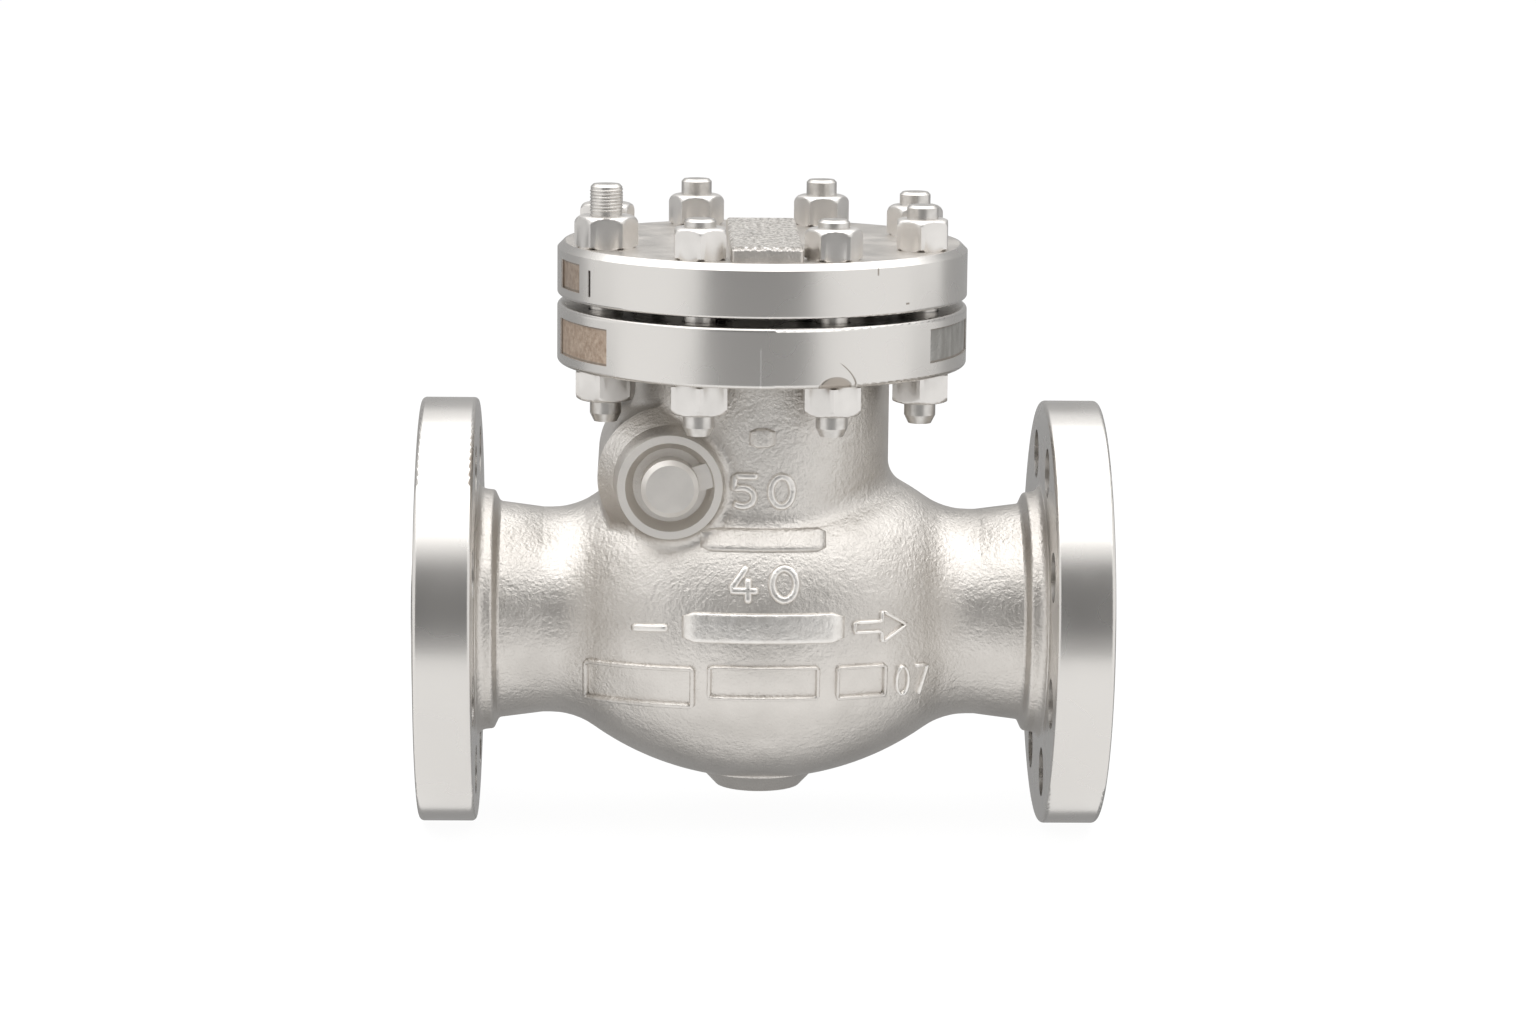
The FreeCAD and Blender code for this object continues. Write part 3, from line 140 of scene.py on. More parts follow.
class Finish:
    """One material, built from small sums on the piece's own coordinates."""

    def __init__(self, name):
        self.material = bpy.data.materials.new(name)
        self.material.use_nodes = True
        self.tree = self.material.node_tree
        self.shader = self.tree.nodes["Principled BSDF"]
        self.place = self.tree.nodes.new("ShaderNodeTexCoord").outputs["Object"]
        self.x, self.y, self.z = self.node("ShaderNodeSeparateXYZ", Vector=self.place).outputs

    def node(self, kind, **inputs):
        """A node whose inputs are numbers, colours or other nodes' outputs."""
        made = self.tree.nodes.new(kind)
        for key, value in inputs.items():
            self.feed(made.inputs[key.replace("_", " ")], value)
        return made

    def feed(self, socket, value):
        """Link a socket to another node's output, or set its own value."""
        if isinstance(value, bpy.types.NodeSocket):
            self.tree.links.new(value, socket)
        else:
            socket.default_value = value

    def sum(self, operation, first, second=0.0):
        """One arithmetic step."""
        step = self.tree.nodes.new("ShaderNodeMath")
        step.operation = operation
        self.feed(step.inputs[0], first)
        self.feed(step.inputs[1], second)
        return step.outputs[0]

    def added(self, *values):
        result = values[0]
        for value in values[1:]:
            result = self.sum("ADD", result, value)
        return result

    def less(self, value, taken):
        return self.sum("SUBTRACT", value, taken)

    def scaled(self, value, amount):
        return self.sum("MULTIPLY", value, amount)

    def length(self, across, along):
        """How long a slanted line is."""
        return self.sum("SQRT", self.added(self.scaled(across, across), self.scaled(along, along)))

    def all_of(self, *masks):
        result = masks[0]
        for mask in masks[1:]:
            result = self.sum("MULTIPLY", result, mask)
        return result

    def any_of(self, *masks):
        result = masks[0]
        for mask in masks[1:]:
            result = self.sum("MAXIMUM", result, mask)
        return result

    def all_but(self, mask):
        return self.less(1.0, mask)

    def rise(self, value, start, end, low=0.0, high=1.0):
        """A ramp from low to high while the value goes from start to end, held beyond them."""
        ends = {"From_Min": start, "From_Max": end, "To_Min": low, "To_Max": high}
        return self.node("ShaderNodeMapRange", Value=value, **ends).outputs["Result"]

    def near(self, value, middle, reach, edge):
        """One while the value is within reach of the middle, and nought past a soft edge."""
        apart = self.sum("ABSOLUTE", self.less(value, middle))
        return self.rise(apart, reach + edge, reach)

    def noise(self, size, detail=2.0, stretch=(1, 1, 1), roughness=0.5):
        """Cloudy noise from nought to one whose features are about this size in metres."""
        scaled = self.node("ShaderNodeMapping", Vector=self.place)
        scaled.inputs["Scale"].default_value = [1 / (size * pull) for pull in stretch]
        made = self.node("ShaderNodeTexNoise", Vector=scaled.outputs[0], Detail=detail, Roughness=roughness)
        made.inputs["Scale"].default_value = 1.0
        return made.outputs["Fac"]

    def patches(self, size, values=(0.0, 1.0), spread=(0.3, 0.7), detail=3, **kind):
        """Clouds that go from the first value to the second over a band of the noise."""
        return self.rise(self.noise(size, detail, **kind), *spread, *values)

    def pebbles(self, size):
        """Rounded grains about this size, nought at their middles."""
        made = self.node("ShaderNodeTexVoronoi", Vector=self.place)
        made.feature = "SMOOTH_F1"
        made.inputs["Scale"].default_value = 1 / size
        return made.outputs["Distance"]

    def blend(self, share, first, second):
        """A colour between two others."""
        made = self.tree.nodes.new("ShaderNodeMix")
        made.data_type = "RGBA"
        self.feed(made.inputs["Factor"], share)
        for socket, colour in ((made.inputs[6], first), (made.inputs[7], second)):
            self.feed(socket, colour if isinstance(colour, bpy.types.NodeSocket) else (*colour, 1))
        return made.outputs[2]

    def made_of(self, colour, roughness, height, metallic=1.0):
        """Set the shader, with a bump from a height in metres, and hand back the material."""
        self.feed(self.shader.inputs["Base Color"], colour)
        self.shader.inputs["Metallic"].default_value = metallic
        self.feed(self.shader.inputs["Roughness"], roughness)
        bump = self.node("ShaderNodeBump", Height=height)
        bump.inputs["Distance"].default_value = 1.0
        self.tree.links.new(bump.outputs[0], self.shader.inputs["Normal"])
        return self.material


def cast_relief(finish):
    """Height of the as-cast skin: soft hollows, pebbled grain and fine grit."""
    hollows = finish.scaled(finish.noise(HOLLOWS[0], 2), HOLLOWS[1])
    grain = finish.scaled(finish.noise(GRAIN[0], 4, roughness=GRAIN_ROUGHNESS), GRAIN[1])
    pebbles = finish.scaled(finish.pebbles(PEBBLES[0]), PEBBLES[1])
    return finish.added(hollows, grain, pebbles)


def turned_relief(finish, along):
    """Height of fine turning marks that run round an axis."""
    stretch = [1 if axis == along else TOOL_STRETCH for axis in "xyz"]
    return finish.scaled(finish.noise(TOOL_MARKS[0], 1, stretch), TOOL_MARKS[1])


def from_cover_axis(finish):
    """Azimuth round the cover from the front, in degrees, and the distance from its axis."""
    across = finish.less(finish.x, COVER_AXIS)
    angle = finish.sum("ARCTAN2", across, finish.scaled(finish.y, -1.0))
    return finish.scaled(angle, 180 / math.pi), finish.length(across, finish.y)


def rim_spot(finish, azimuth, apart, middle, width, height, tall):
    """Masks of a rough spot left in a turned rim and of the dark line along its edge."""
    aside = finish.sum("ABSOLUTE", finish.less(azimuth, middle))
    past_side = finish.scaled(finish.less(aside, width / 2), RIM_RADIUS * math.pi / 180)
    off = finish.sum("ABSOLUTE", finish.less(finish.z, height))
    past = finish.sum("MAXIMUM", past_side, finish.less(off, tall / 2))
    sunk = finish.rise(apart, RIM_RADIUS - SPOT_SUNK[0], RIM_RADIUS - SPOT_SUNK[1])
    spot = finish.all_of(finish.rise(past, SPOT_EDGE, 0.0), sunk)
    return spot, finish.all_of(finish.near(past, *SPOT_LINE), sunk)


def tan_patches(finish):
    """The mottled tan of a rough spot."""
    mottle = finish.patches(SPOT_PATCHES, spread=SPOT_SPREAD, detail=4, roughness=0.6)
    return finish.blend(mottle, TAN_COLOUR, TAN_LIGHT)


def rim_marks(finish, azimuth):
    """A stain at the flange's lower edge, the short curved crack beside it and a bright upright line."""
    up = finish.scaled(finish.less(finish.z, FLANGE_FLOOR), 1 / MM)
    aside = finish.scaled(finish.less(azimuth, STAIN_TURN), 1 / STAIN_WIDE)
    high = finish.scaled(up, 1 / STAIN_HIGH)
    reach = finish.added(finish.all_of(aside, aside), finish.all_of(high, high))
    stain = finish.rise(reach, *STAIN_FADE)
    bend = finish.scaled(finish.all_of(up, up), CRACK_BEND)
    crack = finish.all_of(
        finish.near(azimuth, finish.sum("ADD", bend, CRACK_TURN), *CRACK_WIDE), finish.near(up, *CRACK_UP)
    )
    crack = finish.any_of(crack, finish.scaled(finish.near(reach, *STAIN_OUTLINE), OUTLINE_SHARE))
    bright_line = finish.all_of(finish.near(azimuth, *BRIGHT_LINE_TURN), finish.near(up, *BRIGHT_LINE_UP))
    return stain, crack, bright_line


def casing_finish():
    """Cast skin, turned end flanges and cover flange, smoother hinge bosses, a painted highlight on the bosses
    and the upright neck, and the marks of use.
    """
    finish = Finish("cast_body")
    from_end = finish.sum("MINIMUM", finish.x, finish.less(LENGTH, finish.x))
    ends = finish.rise(from_end, FLANGE_THICK + TURNED_STARTS, FLANGE_THICK + TURNED_FULL)
    top = finish.rise(finish.z, FLANGE_FLOOR - TURNED_STARTS, FLANGE_FLOOR - TURNED_FULL)
    turned = finish.any_of(ends, top)
    from_pin = finish.length(finish.less(finish.x, PIN_X), finish.less(finish.z, PIN_Z))
    outward = finish.sum("ABSOLUTE", finish.y)
    boss = finish.all_of(
        finish.rise(from_pin, BOSS_RADIUS + BOSS_EDGE, BOSS_RADIUS),
        finish.rise(outward, BOSS_FACE, BOSS_FACE + BOSS_LIP),
    )
    neck = finish.all_of(finish.rise(finish.z, NECK_FOOT, NECK_FOOT + NECK_BLEND), finish.all_but(turned))
    azimuth, apart = from_cover_axis(finish)
    tan, tan_line = rim_spot(finish, azimuth, apart, **TAN_SPOT)
    grey, grey_line = rim_spot(finish, azimuth, apart, **GREY_SPOT)
    spots = finish.any_of(tan, grey)
    stain, crack, bright_line = [finish.all_of(mark, top) for mark in rim_marks(finish, azimuth)]
    smooth = finish.less(turned, spots)
    rough = finish.all_but(smooth)

    colour = finish.blend(finish.patches(CAST_CLOUDS, spread=CLOUD_SPREAD), CAST_COLOUR, CAST_DARK)
    # Painted highlight: the hinge bosses, and the upright neck at a share, are lightened towards the brighter
    # cast colour.
    painted_boss_neck_highlight = finish.any_of(boss, finish.scaled(neck, NECK_PAINTED_HIGHLIGHT))
    colour = finish.blend(painted_boss_neck_highlight, colour, PAINTED_HIGHLIGHT_CAST)
    colour = finish.blend(turned, colour, TURNED_COLOUR)
    colour = finish.blend(stain, colour, STAIN_COLOUR)
    colour = finish.blend(crack, colour, CRACK_COLOUR)
    colour = finish.blend(bright_line, colour, BRIGHT_LINE_COLOUR)
    colour = finish.blend(tan, colour, tan_patches(finish))
    streaks = finish.patches(SPOT_STREAKS, spread=SPOT_SPREAD, detail=2, stretch=(1, 1, 4))
    colour = finish.blend(grey, colour, finish.blend(streaks, GREY_SPOT_COLOUR, GREY_SPOT_LIGHT))
    lines = finish.scaled(finish.any_of(tan_line, grey_line), SPOT_LINE_SHARE)
    colour = finish.blend(lines, colour, CRACK_COLOUR)

    roughness = finish.added(
        finish.all_of(finish.patches(CAST_WEAR, CAST_ROUGHNESS), rough),
        finish.all_of(finish.patches(SATIN_WEAR, SATIN_ROUGHNESS, detail=2), smooth),
        finish.scaled(spots, SPOT_DULLER), finish.scaled(boss, BOSS_DULLER), finish.scaled(neck, NECK_DULLER),
    )
    coarse = finish.added(1.0, finish.scaled(neck, NECK_COARSER), finish.scaled(boss, -1.0))
    height = finish.added(
        finish.all_of(cast_relief(finish), rough, coarse),
        finish.all_of(turned_relief(finish, "x"), ends),
        finish.all_of(turned_relief(finish, "z"), top),
        finish.scaled(crack, -CRACK_DEEP),
    )
    return finish.made_of(colour, roughness, height)


def dress(finish, *names):
    """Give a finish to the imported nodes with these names."""
    for name in names:
        for slot in nodes[name].material_slots:
            slot.material = finish


cast_skin = casing_finish()
dress(cast_skin, *CASTING)


# Raised signs
# A flow sign, plain numerals and bare frames stand out on the front of the belly and the upright neck.
# Each is a rounded rib of the casing's own steel, cast with it and blunt as a sand mould leaves it.

# The flow sign and numerals are painted brighter than the casing, a painted highlight on their raised ribs.
SIGN_PAINTED_HIGHLIGHT = (0.90, 0.875, 0.84)
SIGN_CLOUDS = 5 * MM
SIGN_WEAR = 3 * MM
SIGN_ROUGHNESS = (0.30, 0.42)
SIGN_RELIEF = 0.6
RIB_STEP = 1.2 * MM
RIB_ROOT = 0.8 * MM
RIB_HEIGHT = 1.5 * MM
RIB_SKIRT = 0.25 * MM
RAY_START = -0.5

# A rib's rounding and its open ends, as shares of its height or width; a buried row lies under the surface.
RIB_BLUNT = 0.6
RIB_SIDE_LOW = 0.35
RIB_SIDE_HIGH = 0.85
RIB_TIP = 0.5
RIB_TIP_SHOULDER = 0.3
RIB_TIP_HIGH = 0.7
RIB_TIP_NARROW = 0.75
BURIED = -1.0


def painted_highlight_sign_finish():
    """The casing's own skin with a lower relief, painted brighter than the casing as a painted highlight on the
    raised ribs.
    """
    finish = Finish("cast_sign_painted_highlight")
    colour = finish.blend(finish.patches(SIGN_CLOUDS), SIGN_PAINTED_HIGHLIGHT, PAINTED_HIGHLIGHT_CAST)
    height = finish.scaled(cast_relief(finish), SIGN_RELIEF)
    return finish.made_of(colour, finish.patches(SIGN_WEAR, SIGN_ROUGHNESS), height)


painted_highlight_sign_skin = painted_highlight_sign_finish()
casing_trees = []
for name in CASTING:
    skin = nodes[name].data
    corners = [vertex.co for vertex in skin.vertices]
    casing_trees.append(BVHTree.FromPolygons(corners, [list(face.vertices) for face in skin.polygons]))


def on_casing(across, up):
    """The point and outward direction on the front of the casing at a place in metres."""
    start = Vector((COVER_AXIS + across, RAY_START, up))
    hits = [tree.ray_cast(start, Vector((0, 1, 0))) for tree in casing_trees]
    point, normal, _, _ = min((hit for hit in hits if hit[0]), key=lambda hit: hit[0].y)
    if normal.y > 0:
        normal = -normal
    return point, normal


def evenly(points, closed):
    """The path's places at even steps, with the direction of the path at each."""
    path = [Vector(point) * MM for point in points]
    if closed:
        path.append(path[0])
    lengths = [(b - a).length for a, b in zip(path, path[1:])]
    total = sum(lengths)
    count = max(2, math.ceil(total / RIB_STEP))
    placed = []
    for i in range(count + 1):
        left = total * i / count
        for (a, b), length in zip(zip(path, path[1:]), lengths):
            if left <= length + 1e-9:
                break
            left -= length
        placed.append((a.lerp(b, min(1.0, left / length)), (b - a).normalized()))
    return placed


def rib_profile(width):
    """Across a rib: sideways place and height above the casing."""
    half = width / 2
    blunt = min(half, RIB_HEIGHT) * RIB_BLUNT
    flat = width - 2 * blunt
    inside = max(1, math.ceil(flat / RIB_STEP))
    side = [
        (-half - RIB_SKIRT, -RIB_ROOT), (-half, RIB_SIDE_LOW * RIB_HEIGHT),
        (-half + blunt / 2, RIB_SIDE_HIGH * RIB_HEIGHT),
    ]
    top = [(-half + blunt + flat * i / inside, RIB_HEIGHT) for i in range(inside + 1)]
    return side + top + [(-across, up) for across, up in reversed(side)]


def rib_rows(places, width, closed):
    """Each cross-section's place, direction and share of the height, with two more for each open end."""
    rows = [(place, along, 1.0) for place, along in places]
    if closed:
        return rows
    first, first_along = places[0]
    last, last_along = places[-1]
    for reach, share in ((RIB_TIP_SHOULDER * width, RIB_TIP_HIGH), (RIB_TIP * width, BURIED)):
        rows.insert(0, (first - first_along * reach, first_along, share))
        rows.append((last + last_along * reach, last_along, share))
    return rows


def add_rib(mesh, points, width, closed=False):
    """One rounded rib, its width and places in millimetres, the places from the cover's axis and the flow's."""
    profile = rib_profile(width * MM)
    rows = rib_rows(evenly(points, closed), width * MM, closed)
    made = bmesh.ops.create_grid(mesh, x_segments=len(profile) - 1, y_segments=len(rows) - 1, size=1.0)
    grid = made["verts"]
    tops = []
    for index, vertex in enumerate(grid):
        place, along, share = rows[index // len(profile)]
        sideways, up = profile[index % len(profile)]
        if share != 1.0:
            sideways *= RIB_TIP_NARROW
        spot = place + Vector((-along.y, along.x)) * sideways
        point, normal = on_casing(spot.x, spot.y)
        lift = up * share if share > 0 and up > 0 else -RIB_ROOT
        vertex.co = point - normal * 2 * RIB_ROOT
        tops.append(point + normal * lift)
    if closed:
        seam = len(profile)
        bmesh.ops.weld_verts(mesh, targetmap=dict(zip(grid[-seam:], grid[:seam])))
        grid = grid[:-seam]
    faces = list(dict.fromkeys(face for vertex in grid for face in vertex.link_faces))
    raised = {vertex.co.copy().freeze(): top for vertex, top in zip(grid, tops)}
    grown = bmesh.ops.extrude_face_region(mesh, geom=faces)["geom"]
    for item in grown:
        if isinstance(item, bmesh.types.BMVert):
            item.co = raised[item.co.copy().freeze()]


def new_piece(name, mesh, finish, body, sharp=180):
    """Turn a bmesh into a smooth-shaded piece that rides on a body; edges past the sharp angle stay crisp."""
    bmesh.ops.recalc_face_normals(mesh, faces=mesh.faces)
    for face in mesh.faces:
        face.smooth = True
    data = bpy.data.meshes.new(name)
    mesh.to_mesh(data)
    mesh.free()
    data.set_sharp_from_angle(angle=math.radians(sharp))
    data.materials.append(finish)
    piece = bpy.data.objects.new(name, data)
    scene.collection.objects.link(piece)
    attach(piece, body)
    return piece


# Flow sign
# A dash, a bare bar and an arrow in line across the belly, cast with it, that show the way of the flow.
# Their places are in millimetres from the cover's axis and the flow's.

DASH = [(-48.5, 3.6), (-37.0, 4.4)]
DASH_WIDE = 3.0
BAR = [(-26.0, 5.4), (26.0, 5.4)]
BAR_WIDE = 11.5
ARROW = [(34.5, 3.2), (45.0, 3.0), (45.0, -1.2), (54.5, 4.8), (45.0, 10.6), (45.0, 6.8), (34.5, 6.9)]
ARROW_WIDE = 1.5

flow_mesh = bmesh.new()
add_rib(flow_mesh, DASH, DASH_WIDE)
add_rib(flow_mesh, BAR, BAR_WIDE)
add_rib(flow_mesh, ARROW, ARROW_WIDE, closed=True)
new_piece("flow_sign", flow_mesh, painted_highlight_sign_skin, "casing")


# Numerals
# Plain numbers for the bore and the pressure, and a short lot number, cast with the belly and the neck.
# Each has its digit, left edge, foot, width, height and stroke, in millimetres from the same axes.

NUMERALS = (
    ("5", -11.6, 49.4, 8.4, 11.6, 2.9),
    ("0", 2.6, 49.4, 8.4, 11.6, 2.9),
    ("4", -12.6, 16.0, 9.6, 11.6, 2.9),
    ("0", 3.2, 16.0, 9.2, 11.6, 2.9),
    ("0", 51.0, -23.0, 4.6, 11.6, 1.4),
    ("7", 58.4, -23.4, 4.6, 11.6, 1.4),
)


def arc(middle, radii, start, end, count):
    """Places along an ellipse's arc, with angles in degrees from +X towards +Z."""
    places = []
    for i in range(count + 1):
        angle = math.radians(start + (end - start) * i / count)
        places.append((middle[0] + radii[0] * math.cos(angle), middle[1] + radii[1] * math.sin(angle)))
    return places


def add_numeral(mesh, digit, left, low, wide, tall, stroke):
    """A plain raised numeral in a box whose lower left corner is given."""
    right = left + wide
    high = low + tall
    if digit == "0":
        ring = arc((left + wide / 2, low + tall / 2), (wide / 2, tall / 2), 0, 342, 19)
        add_rib(mesh, ring, stroke, closed=True)
    elif digit == "5":
        bowl = arc((left + wide * 0.45, low + tall * 0.31), (wide * 0.5, tall * 0.31), 110, -130, 12)
        add_rib(mesh, [(right, high), (left + 0.6, high), (left + 0.2, low + tall * 0.56)] + bowl, stroke)
    elif digit == "4":
        bar = low + tall * 0.3
        stem = left + wide * 0.7
        add_rib(mesh, [(left + wide * 0.62, high), (left, bar), (right, bar)], stroke)
        add_rib(mesh, [(stem, low + tall * 0.62), (stem, low)], stroke)
    elif digit == "7":
        add_rib(mesh, [(left, high), (right, high), (left + wide * 0.35, low)], stroke)


numeral_mesh = bmesh.new()
for numeral in NUMERALS:
    add_numeral(numeral_mesh, *numeral)
new_piece("numerals", numeral_mesh, painted_highlight_sign_skin, "casing")


# Bare bars and frames
# A short bar on the upright neck, a long one at its foot, and three empty frames low on the belly.
# They are cast with the casing, and given by their ends or corners in millimetres from the same axes.

SHORT_BAR = [(-2.6, 75.6), (1.2, 75.6)]
SHORT_BAR_WIDE = 7.5
LONG_BAR = [(-20.5, 37.2), (20.5, 37.2)]
LONG_BAR_WIDE = 8.0
SLANTED_FRAME = [(-67.0, -27.0), (-26.5, -26.0), (-26.5, -10.8), (-67.0, -11.8)]
SLANTED_FRAME_WIDE = 2.0
STRAIGHT_FRAMES = (
    [(-20.2, -22.0), (20.8, -22.0), (20.8, -9.8), (-20.2, -9.8)],
    [(28.4, -22.4), (46.6, -22.4), (46.6, -10.2), (28.4, -10.2)],
)
STRAIGHT_FRAME_WIDE = 1.6

frame_mesh = bmesh.new()
add_rib(frame_mesh, SHORT_BAR, SHORT_BAR_WIDE)
add_rib(frame_mesh, LONG_BAR, LONG_BAR_WIDE)
add_rib(frame_mesh, SLANTED_FRAME, SLANTED_FRAME_WIDE, closed=True)
for corners in STRAIGHT_FRAMES:
    add_rib(frame_mesh, corners, STRAIGHT_FRAME_WIDE, closed=True)
new_piece("bare_frames", frame_mesh, cast_skin, "casing")


# Seat ring, disc and the disc's fixings
# Corrosion-proof steel, turned all over: the ring is screwed into the inlet side of the casing.
# The disc's stem goes through the arm and is held by a washer, a slotted nut and a split pin.

TRIM_COLOUR = (0.60, 0.59, 0.575)
TRIM_ROUGHNESS = 0.26
MACHINED_PATCHES = 9 * MM
MACHINED_DARKER = 0.92
MACHINED_WEAR = 5 * MM
SMOOTHER = 0.03
ROUGHER = 0.05
DENTS = (4.0 * MM, 0.05 * MM)


def machined_finish(name, colour, roughness, along):
    """Bright machined steel with fine tool marks round an axis and light handling wear."""
    finish = Finish(name)
    darker = tuple(MACHINED_DARKER * part for part in colour)
    wear = finish.patches(MACHINED_WEAR, (roughness - SMOOTHER, roughness + ROUGHER))
    dents = finish.scaled(finish.noise(DENTS[0], 2), DENTS[1])
    height = finish.added(dents, turned_relief(finish, along))
    return finish.made_of(finish.blend(finish.patches(MACHINED_PATCHES), colour, darker), wear, height)


trim_steel = machined_finish("trim_steel", TRIM_COLOUR, TRIM_ROUGHNESS, "x")
dress(trim_steel, "seat_ring", "disc", "disc_washer", "disc_nut", "disc_split_pin")


# Hinge arm
# A small steel casting with its eye, rib, hub and stop heel, left as it comes from the mould.
# It hangs on the hinge pin inside the casing and carries the disc in its hub.

ARM_COLOUR = (0.50, 0.48, 0.46)
ARM_DARK = (0.40, 0.385, 0.37)
ARM_CLOUDS = 7 * MM
ARM_SPREAD = (0.35, 0.65)
ARM_WEAR = 6 * MM
ARM_ROUGHNESS = (0.36, 0.5)


def arm_finish():
    """Darker cast steel with the casing's kind of skin."""
    finish = Finish("arm_steel")
    colour = finish.blend(finish.patches(ARM_CLOUDS, spread=ARM_SPREAD), ARM_COLOUR, ARM_DARK)
    return finish.made_of(colour, finish.patches(ARM_WEAR, ARM_ROUGHNESS), cast_relief(finish))


dress(arm_finish(), "hinge_arm")


# Hinge pin
# A ground steel rod across the casing, on which the arm swings.
# The plugs over its ends hold it in place.

PIN_COLOUR = (0.58, 0.57, 0.55)
PIN_ROUGHNESS = 0.22

dress(machined_finish("pin_steel", PIN_COLOUR, PIN_ROUGHNESS, "z"), "hinge_pin")


# Hinge plugs, their washers and locks
# Round steel plugs screwed into the front and rear bosses over sealing washers.
# A block beside each plug keeps it from turning.

PLUG_COLOUR = (0.82, 0.79, 0.75)
PLUG_ROUGHNESS = 0.54

plug_steel = machined_finish("plug_steel", PLUG_COLOUR, PLUG_ROUGHNESS, "x")
for side in ("front", "rear"):
    dress(plug_steel, "hinge_plug_" + side, "plug_lock_" + side, "plug_washer_" + side)


# Cover gasket
# A flat ring of pressed graphite on a steel core, near black, with a fine fibrous edge.
# It lies between the casing and the cover, and the studs squeeze it.

GRAPHITE_DARK = (0.030, 0.026, 0.024)
GRAPHITE_LIGHT = (0.075, 0.066, 0.060)
GRAPHITE_FIBRES = 0.8 * MM
FIBRE_HEIGHT = 0.05 * MM
GRAPHITE_WEAR = 2 * MM
GRAPHITE_ROUGHNESS = (0.55, 0.8)


def gasket_finish():
    """Fine fibres that lie flat in the ring."""
    finish = Finish("graphite")
    fibres = finish.patches(GRAPHITE_FIBRES, detail=4, stretch=(3, 3, 1))
    colour = finish.blend(fibres, GRAPHITE_DARK, GRAPHITE_LIGHT)
    wear = finish.patches(GRAPHITE_WEAR, GRAPHITE_ROUGHNESS)
    return finish.made_of(colour, wear, finish.scaled(fibres, FIBRE_HEIGHT), metallic=0.0)


dress(gasket_finish(), "cover_gasket")


# Cover
# A cast steel lid with a turned rim and underside, and a rough raised plate on top.
# Eight studs hold it down on its gasket.

COVER_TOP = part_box("cover")[1].z
COVER_RIM_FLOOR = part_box("cover_gasket")[1].z + 0.8 * MM
COVER_RIM_TALL = 20.3 * MM
RIM_LIP = (3.2 * MM, 2.6 * MM)
UNDERSIDE_BELOW = (12 * MM, 13 * MM)
PLATE_BELOW = (1.5 * MM, 0.5 * MM)
COVER_CLOUDS = 22 * MM
COVER_WEAR = 12 * MM
COVER_ROUGHNESS = (0.30, 0.42)
PLATE_DARK = (0.36, 0.335, 0.305)
PLATE_LIGHT = (0.86, 0.83, 0.79)
CRATERS = (3.2 * MM, 0.7 * MM)
CRATER_SPREAD = (0.40, 0.62)
CRATER_ROUGHNESS = 0.65
SLOT_DARK = (0.12, 0.10, 0.09)
SLOT_LIGHT = (0.30, 0.27, 0.24)

# A rough spot and a narrow slot in the cover's rim, given as those of the cover flange.
COVER_TAN_SPOT = {"middle": -70, "width": 15, "height": COVER_RIM_FLOOR + 9.5 * MM, "tall": 11 * MM}
COVER_SLOT = {"middle": -57, "width": 1.2, "height": COVER_RIM_FLOOR + 8.5 * MM, "tall": 10 * MM}

# A nick and a scratch: middle, half width and soft edge, in degrees and in millimetres below the rim's top.
NICK_TURN = (31.5, 0.08, 0.3)
NICK_DOWN = (3.6, 1.0, 0.8)
SCRATCH_TURN = (42.0, 0.5, 0.3)
SCRATCH_DOWN = (16.5, 0.2, 0.3)


def cover_finish():
    """Turned rim and underside, cast top, and the plate's rougher skin."""
    finish = Finish("cast_cover")
    azimuth, apart = from_cover_axis(finish)
    edge = finish.rise(apart, RIM_RADIUS - RIM_LIP[0], RIM_RADIUS - RIM_LIP[1])
    under = finish.rise(finish.z, COVER_TOP - UNDERSIDE_BELOW[0], COVER_TOP - UNDERSIDE_BELOW[1])
    turned = finish.any_of(edge, under)
    plate = finish.rise(finish.z, COVER_TOP - PLATE_BELOW[0], COVER_TOP - PLATE_BELOW[1])
    tan, tan_line = rim_spot(finish, azimuth, apart, **COVER_TAN_SPOT)
    slot, slot_line = rim_spot(finish, azimuth, apart, **COVER_SLOT)
    smooth = finish.less(turned, finish.any_of(tan, slot))
    rough = finish.all_but(smooth)
    down = finish.scaled(finish.less(COVER_RIM_FLOOR + COVER_RIM_TALL, finish.z), 1 / MM)
    nick = finish.all_of(finish.near(azimuth, *NICK_TURN), finish.near(down, *NICK_DOWN))
    scratch = finish.all_of(finish.near(azimuth, *SCRATCH_TURN), finish.near(down, *SCRATCH_DOWN))
    marks = finish.all_of(finish.any_of(nick, scratch), smooth)

    colour = finish.blend(finish.patches(COVER_CLOUDS, spread=CLOUD_SPREAD), CAST_COLOUR, CAST_DARK)
    colour = finish.blend(turned, colour, TURNED_COLOUR)
    craters = finish.patches(
        CRATERS[0], spread=CRATER_SPREAD, detail=4, stretch=(0.5, 1, 1), roughness=CRATER_ROUGHNESS
    )
    colour = finish.blend(plate, colour, finish.blend(craters, PLATE_LIGHT, PLATE_DARK))
    colour = finish.blend(tan, colour, tan_patches(finish))
    colour = finish.blend(finish.scaled(tan_line, SPOT_LINE_SHARE), colour, CRACK_COLOUR)
    colour = finish.blend(slot, colour, SLOT_LIGHT)
    colour = finish.blend(slot_line, colour, SLOT_DARK)
    colour = finish.blend(marks, colour, CRACK_COLOUR)

    roughness = finish.added(
        finish.all_of(finish.patches(COVER_WEAR, COVER_ROUGHNESS), rough),
        finish.all_of(finish.patches(SATIN_WEAR, SATIN_ROUGHNESS, detail=2), smooth),
    )
    height = finish.added(
        finish.all_of(cast_relief(finish), rough),
        finish.all_of(finish.scaled(craters, -CRATERS[1]), plate),
        finish.all_of(turned_relief(finish, "z"), turned),
    )
    return finish.made_of(colour, roughness, height)


dress(cover_finish(), "cover")


# Cover studs
# Eight turned steel studs through the cover and its flange, numbered round from the front right.
# They are a little duller than their nuts, with small dents.

STUD_COUNT = 8
STUD_LIGHT = (0.72, 0.695, 0.665)
STUD_DULL = (0.60, 0.58, 0.55)
STUD_PATCHES = 4 * MM
STUD_WEAR = 2 * MM
STUD_ROUGHNESS = (0.28, 0.40)
STUD_DENTS = (1.8 * MM, 0.03 * MM)


